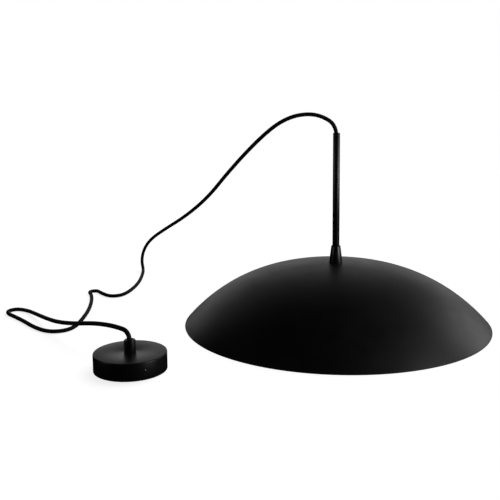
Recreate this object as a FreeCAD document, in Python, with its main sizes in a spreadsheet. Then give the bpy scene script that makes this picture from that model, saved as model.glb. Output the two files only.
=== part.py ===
import FreeCAD, Part
import math
import os

import Sketcher
from FreeCAD import Placement, Rotation, Vector

# Pendant ceiling light, in millimetres, +Z up.  The shade rests on its rim, and the origin is the
# point of the shade's axis in the plane of that rim.  The canopy lies open side down beside it, and
# the cord joins the two.

SIZES = {
    # spun shade, with a flat seat pressed into its crown
    "shade_radius": 245,
    "shade_height": 97.5,
    "shade_wall": 1.5,
    "crown_radius": 490,
    "crown_reach": 85,
    "seat_radius": 11,
    "stem_hole_radius": 5.1,
    # stem tube, the bush in its top and the conical collar at its foot
    "stem_radius": 5.6,
    "stem_thread_radius": 5,
    "stem_bore": 4,
    "stem_top": 305.7,
    "stem_foot": 77.7,
    "bush_flange": 1,
    "bush_radius": 5.2,
    "bush_bore": 3.5,
    "bush_length": 12,
    "collar_height": 28.5,
    "collar_foot_radius": 10.9,
    "collar_top_radius": 7.4,
    "collar_edge": 0.6,
    "fit_gap": 0.06,
    # M10 hardware under the crown and in the lampholder
    "washer_radius": 10.8,
    "washer_height": 1.5,
    "nut_across_flats": 14,
    "nut_height": 3,
    "inner_nut_height": 2.5,
    "tag_radius": 7,
    "tag_thickness": 0.8,
    # E27 lampholder, by its levels above the rim
    "hub_radius": 8.5,
    "hub_foot": 86,
    "cap_ceiling": 81.4,
    "cap_shoulder": 74,
    "cap_foot": 62,
    "cap_radius": 19.5,
    "cap_bore": 17.3,
    "cap_ceiling_radius": 9.5,
    "skirt_top": 69,
    "skirt_radius": 21.2,
    "skirt_foot_radius": 19.4,
    "skirt_throat": 15.6,
    "mouth_radius": 14.6,
    "mouth_lip": 2,
    "mouth_level": 38,
    "insert_radius": 17,
    "insert_top": 67.5,
    "insert_level": 60,
    "insert_neck_radius": 15.4,
    "neck_level": 54.6,
    "recess_radius": 10.5,
    "recess_level": 58.4,
    "thread_radius": 13.3,
    "shell_wall": 0.5,
    "shell_level": 41,
    "contact_width": 6,
    "contact_thickness": 0.5,
    "contact_root": 4,
    "contact_lift": 3.2,
    "contact_reach": 7,
    "side_contact_height": 9,
    "terminal_offset": 8,
    "terminal_radius": 2.2,
    "terminal_height": 1.6,
    # cord and its cores
    "cord_radius": 3.2,
    "core_radius": 0.9,
    # ceiling canopy
    "canopy_x": -301.8,
    "canopy_y": -211.8,
    "canopy_turn": -59,
    "canopy_radius": 50,
    "canopy_height": 24,
    "canopy_wall": 1.2,
    "canopy_edge": 1.4,
    "screw_level": 12,
    "side_hole_radius": 2.25,
    # cord grip
    "grip_radius": 7.9,
    "grip_height": 17,
    "grip_edge": 1,
    "grip_mouth": 1.1,
    "spigot_radius": 4.9,
    "spigot_foot": 16.5,
    "grip_washer_radius": 9,
    "grip_washer_height": 1,
    "lock_radius": 1.5,
    "lock_level": 30,
    "lock_start": 3.6,
    "lock_length": 4.9,
    "lock_turn": 150,
    # ceiling bracket
    "bracket_level": 0.6,
    "bracket_thickness": 2,
    "bracket_width": 18,
    "bracket_reach": 48,
    "ear_width": 12,
    "ear_height": 16.4,
    "ear_hole_radius": 2,
    "fixing_offset": 30,
    "fixing_radius": 2.25,
    "cable_hole_radius": 5.5,
    # side screws, M4 with a domed slotted head
    "screw_radius": 1.95,
    "screw_length": 8,
    "head_radius": 3.9,
    "head_height": 2.4,
    "head_gap": 0.3,
    "slot_width": 0.9,
    "slot_depth": 1.1,
    # terminal block
    "block_length": 17,
    "block_width": 12,
    "block_height": 12,
    "block_offset": -15,
    "pole_pitch": 7.6,
    "row_pitch": 6,
    "wire_hole_radius": 1.3,
    "wire_hole_depth": 4,
    "wire_level": 7,
    "well_radius": 1.9,
    "well_depth": 3.4,
    "block_screw_radius": 1.7,
    "block_screw_height": 2.4,
    "earth_screw_offset": 15,
    "earth_head_radius": 3.4,
    "earth_head_height": 2.2,
    "earth_shank_radius": 1.95,
    "earth_hole_radius": 2,
}

# Levels that follow from the sizes above.
SEAT = "(Sizes.shade_height - Sizes.crown_radius + sqrt(Sizes.crown_radius^2 - Sizes.seat_radius^2))"
CROWN_UNDER = f"({SEAT} - Sizes.shade_wall)"
WASHER_LEVEL = f"({CROWN_UNDER} - Sizes.washer_height)"
HUB_TOP = f"({WASHER_LEVEL} - Sizes.nut_height)"
TAG_LEVEL = "(Sizes.cap_ceiling - Sizes.tag_thickness)"
INNER_NUT_LEVEL = f"({TAG_LEVEL} - Sizes.inner_nut_height)"
STEM_HOLE = "Sizes.stem_thread_radius + Sizes.fit_gap"
COLLAR_TOP = f"({SEAT} + Sizes.collar_height)"
CUP_CEILING = "(Sizes.canopy_height - Sizes.canopy_wall)"
CUP_BORE = "(Sizes.canopy_radius - Sizes.canopy_wall)"
GRIP_WASHER_LEVEL = f"({CUP_CEILING} - Sizes.grip_washer_height)"
GRIP_TOP = "(Sizes.canopy_height + Sizes.grip_height)"
BRACKET_TOP = "(Sizes.bracket_level + Sizes.bracket_thickness)"
BLOCK_TOP = f"({BRACKET_TOP} + Sizes.block_height)"

# Route of the free cord: from inside the stem's bush, over its arch, down to the surface, round its
# bends and its narrow loop, and up into the cord grip.
CORD_ROUTE = [
    (0, 0, 298),
    (0, 0, 318.5),
    (-24, 5, 334),
    (-49, 8, 337),
    (-75, 14, 331),
    (-101, 24, 315.5),
    (-137, 46, 281),
    (-177, 81, 235),
    (-206, 121, 197),
    (-236, 165, 165.5),
    (-271, 222, 134.5),
    (-309, 290, 104.5),
    (-346, 353, 73),
    (-366, 387, 44),
    (-372, 394, 18),
    (-365, 371, 4),
    (-361, 325, 3.3),
    (-359, 266, 3.3),
    (-363, 214, 3.3),
    (-372, 173, 3.3),
    (-385, 158.5, 3.3),
    (-401, 161, 3.3),
    (-413, 175.5, 3.3),
    (-422, 188, 3.3),
    (-427, 196.8, 3.3),
    (-434.2, 198.2, 3.3),
    (-440, 194.2, 3.3),
    (-441.2, 187.4, 3.3),
    (-436, 175, 3.3),
    (-430, 154, 3.3),
    (-424, 123, 3.3),
    (-419.5, 90, 3.3),
    (-416.5, 50, 3.3),
    (-416.5, 2, 3.3),
    (-419, -32, 3.3),
    (-432, -52, 3.3),
    (-457, -54, 3.3),
    (-485, -29, 3.3),
    (-511, 5, 3.3),
    (-533, 30, 3.3),
    (-550, 48, 3.3),
    (-556, 65, 3.3),
    (-544, 78, 3.3),
    (-521, 65, 3.7),
    (-496, 30, 7),
    (-468, -17, 14),
    (-437, -64, 21.5),
    (-402, -104, 31),
    (-367, -142, 43),
    (-338, -174, 50),
    (-317, -197, 52.4),
    (-307, -206.6, 51.6),
    (-301.8, -211.8, 43.5),
    (-301.8, -211.8, 33),
]
FILLET_SHARE = 0.45
CORD_END_DROP = 2
VOLUME_TOLERANCE = 0.002
LEVEL_TOLERANCE = 1e-4

doc = FreeCAD.newDocument("PendantLight")
sheet = doc.addObject("Spreadsheet::Sheet", "Sizes")
for row, (alias, number) in enumerate(SIZES.items(), start=1):
    sheet.set(f"A{row}", alias)
    sheet.set(f"B{row}", str(number))
    sheet.setAlias(f"B{row}", alias)
doc.recompute()


# ---- tools of the workshop ---------------------------------------------------------------------


def size(expression):
    """The value of an expression on the sheet's aliases, in millimetres or degrees."""
    value = sheet.evalExpression(expression)
    return float(getattr(value, "Value", value))


def place(piece, x="0", y="0", z="0", rotation=None):
    """Binds a piece's place to the sheet and sets its rotation."""
    piece.Placement = Placement(Vector(size(x), size(y), size(z)), rotation or Rotation())
    for axis, expression in (("x", x), ("y", y), ("z", z)):
        piece.setExpression(f"Placement.Base.{axis}", expression)
    return piece


def about_z(expression):
    """A turn about the vertical by an angle on the sheet."""
    return Rotation(Vector(0, 0, 1), size(expression))


def place_in_canopy(piece, level="0", rotation=None):
    """Places a piece that was built round the canopy's axis with the bracket along X."""
    turn = about_z("Sizes.canopy_turn")
    if rotation:
        turn = turn.multiply(rotation)
    return place(piece, "Sizes.canopy_x", "Sizes.canopy_y", level, turn)


def named(piece, label):
    """Gives a finished piece the label that names its file."""
    piece.Label = label
    return piece


def plane_of(body, role):
    """One of a body's own origin planes."""
    return next(item for item in body.Origin.OriginFeatures if item.Role == role)


def upright_sketch(body, name):
    """A sketch on a body's XZ plane, for an outline of radius and height."""
    sketch = body.newObject("Sketcher::SketchObject", name)
    sketch.AttachmentSupport = (plane_of(body, "XZ_Plane"), [""])
    sketch.MapMode = "FlatFace"
    return sketch


def bind(sketch, kind, *where):
    """Adds one dimension to a sketch, bound to the expression that comes last."""
    index = sketch.addConstraint(Sketcher.Constraint(kind, *where[:-1], size(where[-1])))
    sketch.setExpression(f"Constraints[{index}]", where[-1])


def spin(body, sketch):
    """Turns a sketch about the vertical axis."""
    turning = body.newObject("PartDesign::Revolution", body.Name + "_turning")
    turning.Profile = sketch
    turning.ReferenceAxis = (sketch, ["V_Axis"])
    turning.Angle = 360
    sketch.Visibility = False
    doc.recompute()
    return turning


def turned(name, corners):
    """A piece turned on a lathe, from the (radius, height) corners of half its section."""
    body = doc.addObject("PartDesign::Body", name)
    sketch = upright_sketch(body, name + "_outline")
    ends = [Vector(size(across), size(up), 0) for across, up in corners]
    for index, start in enumerate(ends):
        sketch.addGeometry(Part.LineSegment(start, ends[(index + 1) % len(ends)]), False)
    for index in range(len(ends)):
        following = (index + 1) % len(ends)
        sketch.addConstraint(Sketcher.Constraint("Coincident", index, 2, following, 1))
    for index, (across, up) in enumerate(corners):
        bind(sketch, "DistanceX", -1, 1, index, 1, across)
        bind(sketch, "DistanceY", -1, 1, index, 1, up)
    spin(body, sketch)
    return named(body, name)


def cylinder(name, radius, height, x="0", y="0", z="0", rotation=None):
    """A cylinder bound to the sheet, standing on (x, y, z) unless it is rotated."""
    piece = doc.addObject("Part::Cylinder", name)
    piece.setExpression("Radius", radius)
    piece.setExpression("Height", height)
    return place(piece, x, y, z, rotation)


def box(name, length, width, height, x, y, z):
    """A box bound to the sheet, with (x, y, z) its lowest corner."""
    piece = doc.addObject("Part::Box", name)
    piece.setExpression("Length", length)
    piece.setExpression("Width", width)
    piece.setExpression("Height", height)
    return place(piece, x, y, z)


def fused(name, pieces):
    """One solid, or a group of separate solids, of several pieces."""
    result = doc.addObject("Part::MultiFuse", name)
    result.Shapes = pieces
    return result


def cut(name, base, tools):
    """A piece with the tools taken away from it."""
    result = doc.addObject("Part::Cut", name)
    result.Base = base
    result.Tool = tools[0] if len(tools) == 1 else fused(name + "_tools", tools)
    return result


def nut(name, height, z):
    """An M10 hexagon nut on the vertical axis."""
    prism = doc.addObject("Part::Prism", name + "_hexagon")
    prism.Polygon = 6
    prism.setExpression("Circumradius", "Sizes.nut_across_flats / sqrt(3)")
    prism.setExpression("Height", height)
    place(prism, z=z)
    return named(cut(name, prism, [cylinder(name + "_hole", STEM_HOLE, height, z=z)]), name)


def ring(name, radius, height, z):
    """A flat washer for M10 on the vertical axis."""
    disc = cylinder(name + "_disc", radius, height, z=z)
    return named(cut(name, disc, [cylinder(name + "_hole", STEM_HOLE, height, z=z)]), name)


def rounded_path(points):
    """Straight runs joined by tangent arcs; returns the wire, its length and the arcs' radii."""
    points = [Vector(*point) for point in points]
    edges = []
    radii = []
    length = 0.0
    start = points[0]
    for before, corner, after in zip(points, points[1:], points[2:]):
        inward = (corner - before).normalize()
        outward = (after - corner).normalize()
        turn = inward.getAngle(outward)
        setback = FILLET_SHARE * min((corner - before).Length, (after - corner).Length)
        radius = setback / math.tan(turn / 2)
        arc_start = corner - inward * setback
        arc_end = corner + outward * setback
        middle = corner + (outward - inward).normalize() * (radius / math.cos(turn / 2) - radius)
        edges.append(Part.LineSegment(start, arc_start).toShape())
        edges.append(Part.Arc(arc_start, middle, arc_end).toShape())
        length += (arc_start - start).Length + radius * turn
        radii.append(radius)
        start = arc_end
    edges.append(Part.LineSegment(start, points[-1]).toShape())
    length += (points[-1] - start).Length
    return Part.Wire(edges), length, radii


def tube(name, points, radius):
    """A round cord or core swept along a rounded path, its volume compared with its length."""
    path, length, radii = rounded_path(points)
    start = Vector(*points[0])
    section = Part.Wire([Part.Circle(start, Vector(*points[1]) - start, radius).toShape()])
    piece = doc.addObject("Part::Feature", name)
    piece.Shape = path.makePipeShell([section], True, False)
    error = piece.Shape.Volume / (math.pi * radius**2 * length) - 1
    if abs(error) > VOLUME_TOLERANCE:
        raise ValueError(f"{name}: the swept volume is off by {error:.2%}")
    print(f"{name}: {length:.0f} mm long, radii", " ".join(f"{value:.0f}" for value in radii))
    return named(piece, name)


# ---- shade and stem ----------------------------------------------------------------------------


def make_shade_dome():
    """Spun dome: a wide crown arc that runs into a tighter shoulder arc, of even thickness."""
    rim, crown = size("Sizes.shade_radius"), size("Sizes.crown_radius")
    seat, reach, wall = size("Sizes.seat_radius"), size("Sizes.crown_reach"), size("Sizes.shade_wall")
    hole, seat_level = size("Sizes.stem_hole_radius"), size(SEAT)
    crown_centre = Vector(0, size("Sizes.shade_height") - crown, 0)
    outward = Vector(reach, math.sqrt(crown**2 - reach**2), 0).normalize()
    chord = Vector(rim, 0, 0) - crown_centre - outward * crown
    shoulder = -chord.dot(chord) / (2 * chord.dot(outward))
    shoulder_centre = crown_centre + outward * (crown - shoulder)

    def layer(depth):
        """Seat edge, crown arc, join, shoulder arc and rim of the wall at a depth below its face."""
        join = crown_centre + outward * (crown - depth)
        top = seat_level - depth
        start = Vector(math.sqrt((crown - depth)**2 - (top - crown_centre.y)**2), top, 0)
        end = Vector(shoulder_centre.x + math.sqrt((shoulder - depth)**2 - shoulder_centre.y**2), 0, 0)
        crown_way = (join + start - crown_centre * 2).normalize()
        shoulder_way = (join + end - shoulder_centre * 2).normalize()
        crown_arc = Part.Arc(join, crown_centre + crown_way * (crown - depth), start)
        shoulder_arc = Part.Arc(end, shoulder_centre + shoulder_way * (shoulder - depth), join)
        return start, crown_arc, shoulder_arc, end

    seat_edge, crown_outside, shoulder_outside, rim_outside = layer(0)
    under_edge, crown_inside, shoulder_inside, rim_inside = layer(wall)
    hole_top, hole_foot = Vector(hole, seat_level, 0), Vector(hole, seat_level - wall, 0)

    body = doc.addObject("PartDesign::Body", "shade_dome")
    sketch = upright_sketch(body, "shade_outline")
    land, crown_out, shoulder_out, foot, shoulder_in, crown_in, under, bore = (
        sketch.addGeometry(item, False)
        for item in (
            Part.LineSegment(hole_top, seat_edge),
            crown_outside,
            shoulder_outside,
            Part.LineSegment(rim_outside, rim_inside),
            shoulder_inside,
            crown_inside,
            Part.LineSegment(under_edge, hole_foot),
            Part.LineSegment(hole_foot, hole_top),
        )
    )
    for constraint in (
        ("Horizontal", land),
        ("Coincident", land, 2, crown_out, 2),
        ("Tangent", crown_out, 1, shoulder_out, 2),
        ("Coincident", shoulder_out, 1, foot, 1),
        ("PointOnObject", foot, 1, -1),
        ("PointOnObject", foot, 2, -1),
        ("Coincident", foot, 2, shoulder_in, 1),
        ("Tangent", shoulder_in, 2, crown_in, 1),
        ("Coincident", crown_in, 2, under, 1),
        ("Horizontal", under),
        ("Coincident", under, 2, bore, 1),
        ("Vertical", bore),
        ("Coincident", bore, 2, land, 1),
        ("PointOnObject", crown_out, 3, -2),
        ("Coincident", crown_out, 3, crown_in, 3),
        ("Coincident", shoulder_out, 3, shoulder_in, 3),
    ):
        sketch.addConstraint(Sketcher.Constraint(*constraint))
    bind(sketch, "DistanceX", -1, 1, land, 1, "Sizes.stem_hole_radius")
    bind(sketch, "DistanceX", -1, 1, land, 2, "Sizes.seat_radius")
    bind(sketch, "DistanceY", -1, 1, land, 2, SEAT)
    bind(sketch, "DistanceY", -1, 1, under, 1, CROWN_UNDER)
    bind(sketch, "DistanceX", -1, 1, crown_out, 1, "Sizes.crown_reach")
    bind(sketch, "DistanceX", -1, 1, foot, 1, "Sizes.shade_radius")
    bind(sketch, "Radius", crown_out, "Sizes.crown_radius")
    bind(sketch, "Radius", crown_in, "Sizes.crown_radius - Sizes.shade_wall")
    spin(body, sketch)
    return named(body, "shade_dome")


def make_stem():
    """Stem tube, the bush in its top, the cord inside it and the collar round its foot."""
    stem = turned("stem_tube", [
        ("Sizes.stem_bore", "Sizes.stem_foot"),
        ("Sizes.stem_thread_radius", "Sizes.stem_foot"),
        ("Sizes.stem_thread_radius", COLLAR_TOP),
        ("Sizes.stem_radius", COLLAR_TOP),
        ("Sizes.stem_radius", "Sizes.stem_top"),
        ("Sizes.stem_bore", "Sizes.stem_top"),
    ])
    sleeve = "Sizes.stem_bore - Sizes.fit_gap"
    bush = turned("stem_bush", [
        ("Sizes.bush_bore", "Sizes.stem_top - Sizes.bush_length"),
        (sleeve, "Sizes.stem_top - Sizes.bush_length"),
        (sleeve, "Sizes.stem_top"),
        ("Sizes.bush_radius", "Sizes.stem_top"),
        ("Sizes.bush_radius", "Sizes.stem_top + Sizes.bush_flange"),
        ("Sizes.bush_bore", "Sizes.stem_top + Sizes.bush_flange"),
    ])
    collar = turned("collar_cone", [
        (STEM_HOLE, SEAT),
        ("Sizes.collar_foot_radius", SEAT),
        ("Sizes.collar_top_radius", f"{COLLAR_TOP} - Sizes.collar_edge"),
        ("Sizes.collar_top_radius - Sizes.collar_edge", COLLAR_TOP),
        (STEM_HOLE, COLLAR_TOP),
    ])
    cord_top = f"{CORD_ROUTE[0][2]} - Sizes.stem_foot"
    cord = cylinder("cord_in_stem", "Sizes.cord_radius", cord_top, z="Sizes.stem_foot")
    return [stem, bush, collar, named(cord, "cord_in_stem")]


def make_crown_hardware():
    """Washer and nut that clamp the shade, and the tag and nut inside the lampholder."""
    tag_tail = box(
        "tag_tail", "3.6", "Sizes.tag_radius + 2.4", "Sizes.tag_thickness", "-1.8", "0", TAG_LEVEL
    )
    tag_disc = cylinder("tag_disc", "Sizes.tag_radius", "Sizes.tag_thickness", z=TAG_LEVEL)
    tag_hole = cylinder("tag_hole", STEM_HOLE, "Sizes.tag_thickness", z=TAG_LEVEL)
    return [
        ring("seat_washer", "Sizes.washer_radius", "Sizes.washer_height", WASHER_LEVEL),
        nut("crown_nut", "Sizes.nut_height", HUB_TOP),
        nut("holder_nut", "Sizes.inner_nut_height", INNER_NUT_LEVEL),
        named(cut("earth_tag", fused("tag_blank", [tag_disc, tag_tail]), [tag_hole]), "earth_tag"),
    ]


# ---- lampholder --------------------------------------------------------------------------------


def make_holder_shells():
    """Cap, skirt, ceramic insert and brass screw shell of the lampholder."""
    cap = turned("holder_cap", [
        (STEM_HOLE, "Sizes.cap_ceiling"),
        ("Sizes.cap_ceiling_radius", "Sizes.cap_ceiling"),
        ("Sizes.cap_bore", "Sizes.cap_shoulder"),
        ("Sizes.cap_bore", "Sizes.cap_foot"),
        ("Sizes.cap_radius", "Sizes.cap_foot"),
        ("Sizes.cap_radius", "Sizes.cap_shoulder"),
        ("Sizes.hub_radius + 2", "Sizes.hub_foot"),
        ("Sizes.hub_radius", "Sizes.hub_foot + 2"),
        ("Sizes.hub_radius", HUB_TOP),
        (STEM_HOLE, HUB_TOP),
    ])
    lap = "Sizes.cap_radius + Sizes.fit_gap"
    throat_top = "Sizes.insert_level - Sizes.fit_gap"
    skirt = turned("holder_skirt", [
        (lap, "Sizes.skirt_top"),
        ("Sizes.skirt_radius", "Sizes.skirt_top"),
        ("Sizes.skirt_radius", "Sizes.cap_foot - 3"),
        ("Sizes.skirt_foot_radius", "Sizes.mouth_level + 1"),
        ("Sizes.skirt_foot_radius - 1", "Sizes.mouth_level"),
        ("Sizes.mouth_radius", "Sizes.mouth_level"),
        ("Sizes.mouth_radius", "Sizes.mouth_level + Sizes.mouth_lip"),
        ("Sizes.skirt_throat", "Sizes.mouth_level + Sizes.mouth_lip"),
        ("Sizes.skirt_throat", throat_top),
        (lap, throat_top),
    ])
    insert = turned("holder_insert", [
        ("0", "Sizes.recess_level"),
        ("Sizes.recess_radius", "Sizes.recess_level"),
        ("Sizes.recess_radius", "Sizes.neck_level"),
        ("Sizes.insert_neck_radius", "Sizes.neck_level"),
        ("Sizes.insert_neck_radius", "Sizes.insert_level"),
        ("Sizes.insert_radius", "Sizes.insert_level"),
        ("Sizes.insert_radius", "Sizes.insert_top"),
        ("0", "Sizes.insert_top"),
    ])
    outer = "Sizes.thread_radius + Sizes.shell_wall"
    shell = turned("screw_shell", [
        ("Sizes.thread_radius", "Sizes.shell_level"),
        (outer, "Sizes.shell_level"),
        (outer, "Sizes.neck_level"),
        ("Sizes.thread_radius", "Sizes.neck_level"),
    ])
    return [cap, skirt, insert, shell]


def make_holder_contacts():
    """Springy centre contact, side contact and terminal screws."""
    root, half_width = size("Sizes.contact_root"), size("Sizes.contact_width") / 2
    level, thick = size("Sizes.recess_level - Sizes.fit_gap"), size("Sizes.contact_thickness")
    tip = root - size("Sizes.contact_reach")
    low = level - size("Sizes.contact_lift")
    outline = [
        Vector(root + 3, -half_width, level),
        Vector(root, -half_width, level),
        Vector(tip, -half_width, low),
        Vector(tip - 3, -half_width, low + 0.6),
        Vector(tip - 3, -half_width, low + 0.6 - thick),
        Vector(tip, -half_width, low - thick),
        Vector(root, -half_width, level - thick),
        Vector(root + 3, -half_width, level - thick),
    ]
    centre = doc.addObject("Part::Feature", "centre_contact")
    leaf = Part.Face(Part.makePolygon(outline + outline[:1]))
    centre.Shape = leaf.extrude(Vector(0, 2 * half_width, 0))

    side = box(
        "side_contact", "Sizes.contact_thickness", "4", "Sizes.side_contact_height",
        "Sizes.thread_radius + Sizes.shell_wall + 0.1", "-2",
        "Sizes.neck_level - Sizes.side_contact_height",
    )
    screws = [
        cylinder(
            f"terminal_screw_{number}", "Sizes.terminal_radius", "Sizes.terminal_height",
            x=across, z="Sizes.insert_top",
        )
        for number, across in enumerate(("Sizes.terminal_offset", "-Sizes.terminal_offset"), start=1)
    ]
    return [
        named(centre, "centre_contact"),
        named(side, "side_contact"),
        named(fused("terminal_screws", screws), "terminal_screws"),
    ]


def make_holder_leads():
    """Live, neutral and earth cores, from the cord's end to their terminals."""
    start, radius = size("Sizes.stem_foot"), size("Sizes.core_radius")
    screw_top = size("Sizes.insert_top + Sizes.terminal_height")
    offset = size("Sizes.terminal_offset")
    tag = size(TAG_LEVEL)
    leads = []
    for name, side in (("live_lead", -1), ("neutral_lead", 1)):
        leads.append(tube(name, [
            (1.3 * side, -0.8, start),
            (1.3 * side, -0.8, start - 3.2),
            (offset * side, 0, start - 5),
            (offset * side, 0, screw_top),
        ], radius))
    leads.append(tube("earth_lead", [
        (0, 1.5, start),
        (0, 1.5, start - 3.6),
        (0, 8.4, start - 3.2),
        (0, 8.4, tag),
    ], radius))
    return leads


# ---- canopy and cord grip ----------------------------------------------------------------------


def make_canopy_cup():
    """Round cup of the canopy with its entry hole and two side holes."""
    cup = turned("canopy_shell", [
        ("Sizes.spigot_radius + Sizes.fit_gap", CUP_CEILING),
        (CUP_BORE, CUP_CEILING),
        (CUP_BORE, "0"),
        ("Sizes.canopy_radius", "0"),
        ("Sizes.canopy_radius", "Sizes.canopy_height"),
        ("Sizes.spigot_radius + Sizes.fit_gap", "Sizes.canopy_height"),
    ])
    edges = [
        f"Edge{number}"
        for number, edge in enumerate(cup.Shape.Edges, start=1)
        if abs(edge.CenterOfMass.z - size("Sizes.canopy_height")) < LEVEL_TOLERANCE
        and edge.Length > 6 * size("Sizes.canopy_radius")
    ]
    solid = cup.Tip
    rounding = cup.newObject("PartDesign::Fillet", "canopy_edge_rounding")
    rounding.Base = (solid, edges)
    rounding.setExpression("Radius", "Sizes.canopy_edge")
    doc.recompute()
    side_holes = cylinder(
        "side_holes", "Sizes.side_hole_radius", "3 * Sizes.canopy_radius",
        x="-1.5 * Sizes.canopy_radius", z="Sizes.screw_level", rotation=Rotation(Vector(0, 1, 0), 90),
    )
    return named(place_in_canopy(cut("canopy_cup", cup, [side_holes])), "canopy_cup")


def make_cord_grip():
    """Cord grip: body with its threaded spigot, lock screw, washer, nut and the cord's end."""
    bore, mouth = "Sizes.bush_bore", "Sizes.bush_bore + Sizes.grip_mouth"
    blank = turned("grip_blank", [
        (bore, "Sizes.spigot_foot"),
        ("Sizes.spigot_radius", "Sizes.spigot_foot"),
        ("Sizes.spigot_radius", "Sizes.canopy_height"),
        ("Sizes.grip_radius", "Sizes.canopy_height"),
        ("Sizes.grip_radius", f"{GRIP_TOP} - Sizes.grip_edge"),
        ("Sizes.grip_radius - Sizes.grip_edge", GRIP_TOP),
        (mouth, GRIP_TOP),
        (bore, f"{GRIP_TOP} - 2 * Sizes.grip_mouth"),
    ])
    sideways = about_z("Sizes.lock_turn").multiply(Rotation(Vector(0, 1, 0), 90))
    lock_hole = cylinder(
        "lock_hole", "Sizes.lock_radius + Sizes.fit_gap", "2 * Sizes.grip_radius",
        z="Sizes.lock_level", rotation=sideways,
    )
    body = place_in_canopy(cut("grip_body", blank, [lock_hole]))
    thread = cylinder("lock_thread", "Sizes.lock_radius", "Sizes.lock_length", z="Sizes.lock_start")
    slot = box(
        "lock_slot", "4 * Sizes.lock_radius", "0.5", "0.6", "-2 * Sizes.lock_radius", "-0.25",
        "Sizes.lock_start + Sizes.lock_length - 0.6",
    )
    lock = place_in_canopy(cut("grip_lock_screw", thread, [slot]), "Sizes.lock_level", sideways)
    washer = ring("grip_washer", "Sizes.grip_washer_radius", "Sizes.grip_washer_height", GRIP_WASHER_LEVEL)
    grip_nut = nut("grip_nut", "Sizes.nut_height", f"({GRIP_WASHER_LEVEL} - Sizes.nut_height)")
    cord_foot = f"Sizes.spigot_foot - {CORD_END_DROP}"
    cord = cylinder("cord_in_grip", "Sizes.cord_radius", f"{CORD_ROUTE[-1][2]} - ({cord_foot})")
    for piece in (washer, grip_nut):
        place_in_canopy(piece)
    place_in_canopy(cord, cord_foot)
    return [
        named(body, "grip_body"),
        named(lock, "grip_lock_screw"),
        washer,
        grip_nut,
        named(cord, "cord_in_grip"),
    ]


def make_ceiling_bracket():
    """Crossbar that is screwed to the ceiling, with an ear at each end for a side screw."""
    width, thickness = "Sizes.bracket_width", "Sizes.bracket_thickness"
    bar = box(
        "bracket_bar", "2 * Sizes.bracket_reach", width, thickness,
        "-Sizes.bracket_reach", "-Sizes.bracket_width / 2", "Sizes.bracket_level",
    )
    corner_cuts = []
    ears = []
    for number, way in enumerate((-1, 1), start=1):
        inner = "Sizes.bracket_reach - Sizes.bracket_thickness" if way > 0 else "-Sizes.bracket_reach"
        ears.append(box(
            f"bracket_ear_{number}", thickness, "Sizes.ear_width", "Sizes.ear_height",
            inner, "-Sizes.ear_width / 2", "Sizes.bracket_level",
        ))
        narrow = "Sizes.bracket_reach - 7" if way > 0 else "-Sizes.bracket_reach"
        for edge, start in enumerate(("Sizes.ear_width / 2", f"-{width} / 2"), start=1):
            corner_cuts.append(box(
                f"corner_cut_{number}_{edge}", "7", f"({width} - Sizes.ear_width) / 2", thickness,
                narrow, start, "Sizes.bracket_level",
            ))
    holes = [
        cylinder("cable_hole", "Sizes.cable_hole_radius", "3 * Sizes.bracket_thickness"),
        cylinder(
            "earth_hole", "Sizes.earth_hole_radius", "3 * Sizes.bracket_thickness",
            x="Sizes.earth_screw_offset",
        ),
        cylinder(
            "ear_holes", "Sizes.ear_hole_radius", "3 * Sizes.bracket_reach",
            x="-1.5 * Sizes.bracket_reach", z="Sizes.screw_level", rotation=Rotation(Vector(0, 1, 0), 90),
        ),
    ]
    for number, offset in enumerate(("Sizes.fixing_offset", "-Sizes.fixing_offset"), start=1):
        holes.append(cylinder(
            f"fixing_hole_{number}", "Sizes.fixing_radius", "3 * Sizes.bracket_thickness", x=offset
        ))
    blank = fused("bracket_blank", [bar] + ears)
    bracket = cut("ceiling_bracket", blank, corner_cuts + holes)
    return named(place_in_canopy(bracket), "ceiling_bracket")


def make_side_screw(label, turn):
    """Domed slotted screw, pointing out of the cup's wall at a turn from the bracket's X."""
    head_level = "Sizes.canopy_radius + Sizes.head_gap"
    ball = "((Sizes.head_radius^2 + Sizes.head_height^2) / (2 * Sizes.head_height))"
    shank = cylinder(
        label + "_shank", "Sizes.screw_radius", "Sizes.screw_length + 0.1",
        z=f"{head_level} - Sizes.screw_length",
    )
    dome = doc.addObject("Part::Sphere", label + "_dome")
    dome.setExpression("Radius", ball)
    place(dome, z=f"{head_level} + Sizes.head_height - {ball}")
    under = cylinder(label + "_under", "2 * Sizes.head_radius", "Sizes.head_height", z=head_level)
    head = doc.addObject("Part::Common", label + "_head")
    head.Base = dome
    head.Tool = under
    slot = box(
        label + "_slot", "3 * Sizes.head_radius", "Sizes.slot_width", "Sizes.slot_depth",
        "-1.5 * Sizes.head_radius", "-Sizes.slot_width / 2",
        f"{head_level} + Sizes.head_height - Sizes.slot_depth",
    )
    screw = cut(label, fused(label + "_blank", [shank, head]), [slot])
    outward = Rotation(Vector(0, 0, 1), turn).multiply(Rotation(Vector(0, 1, 0), 90))
    return named(place_in_canopy(screw, "Sizes.screw_level", outward), label)


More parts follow.
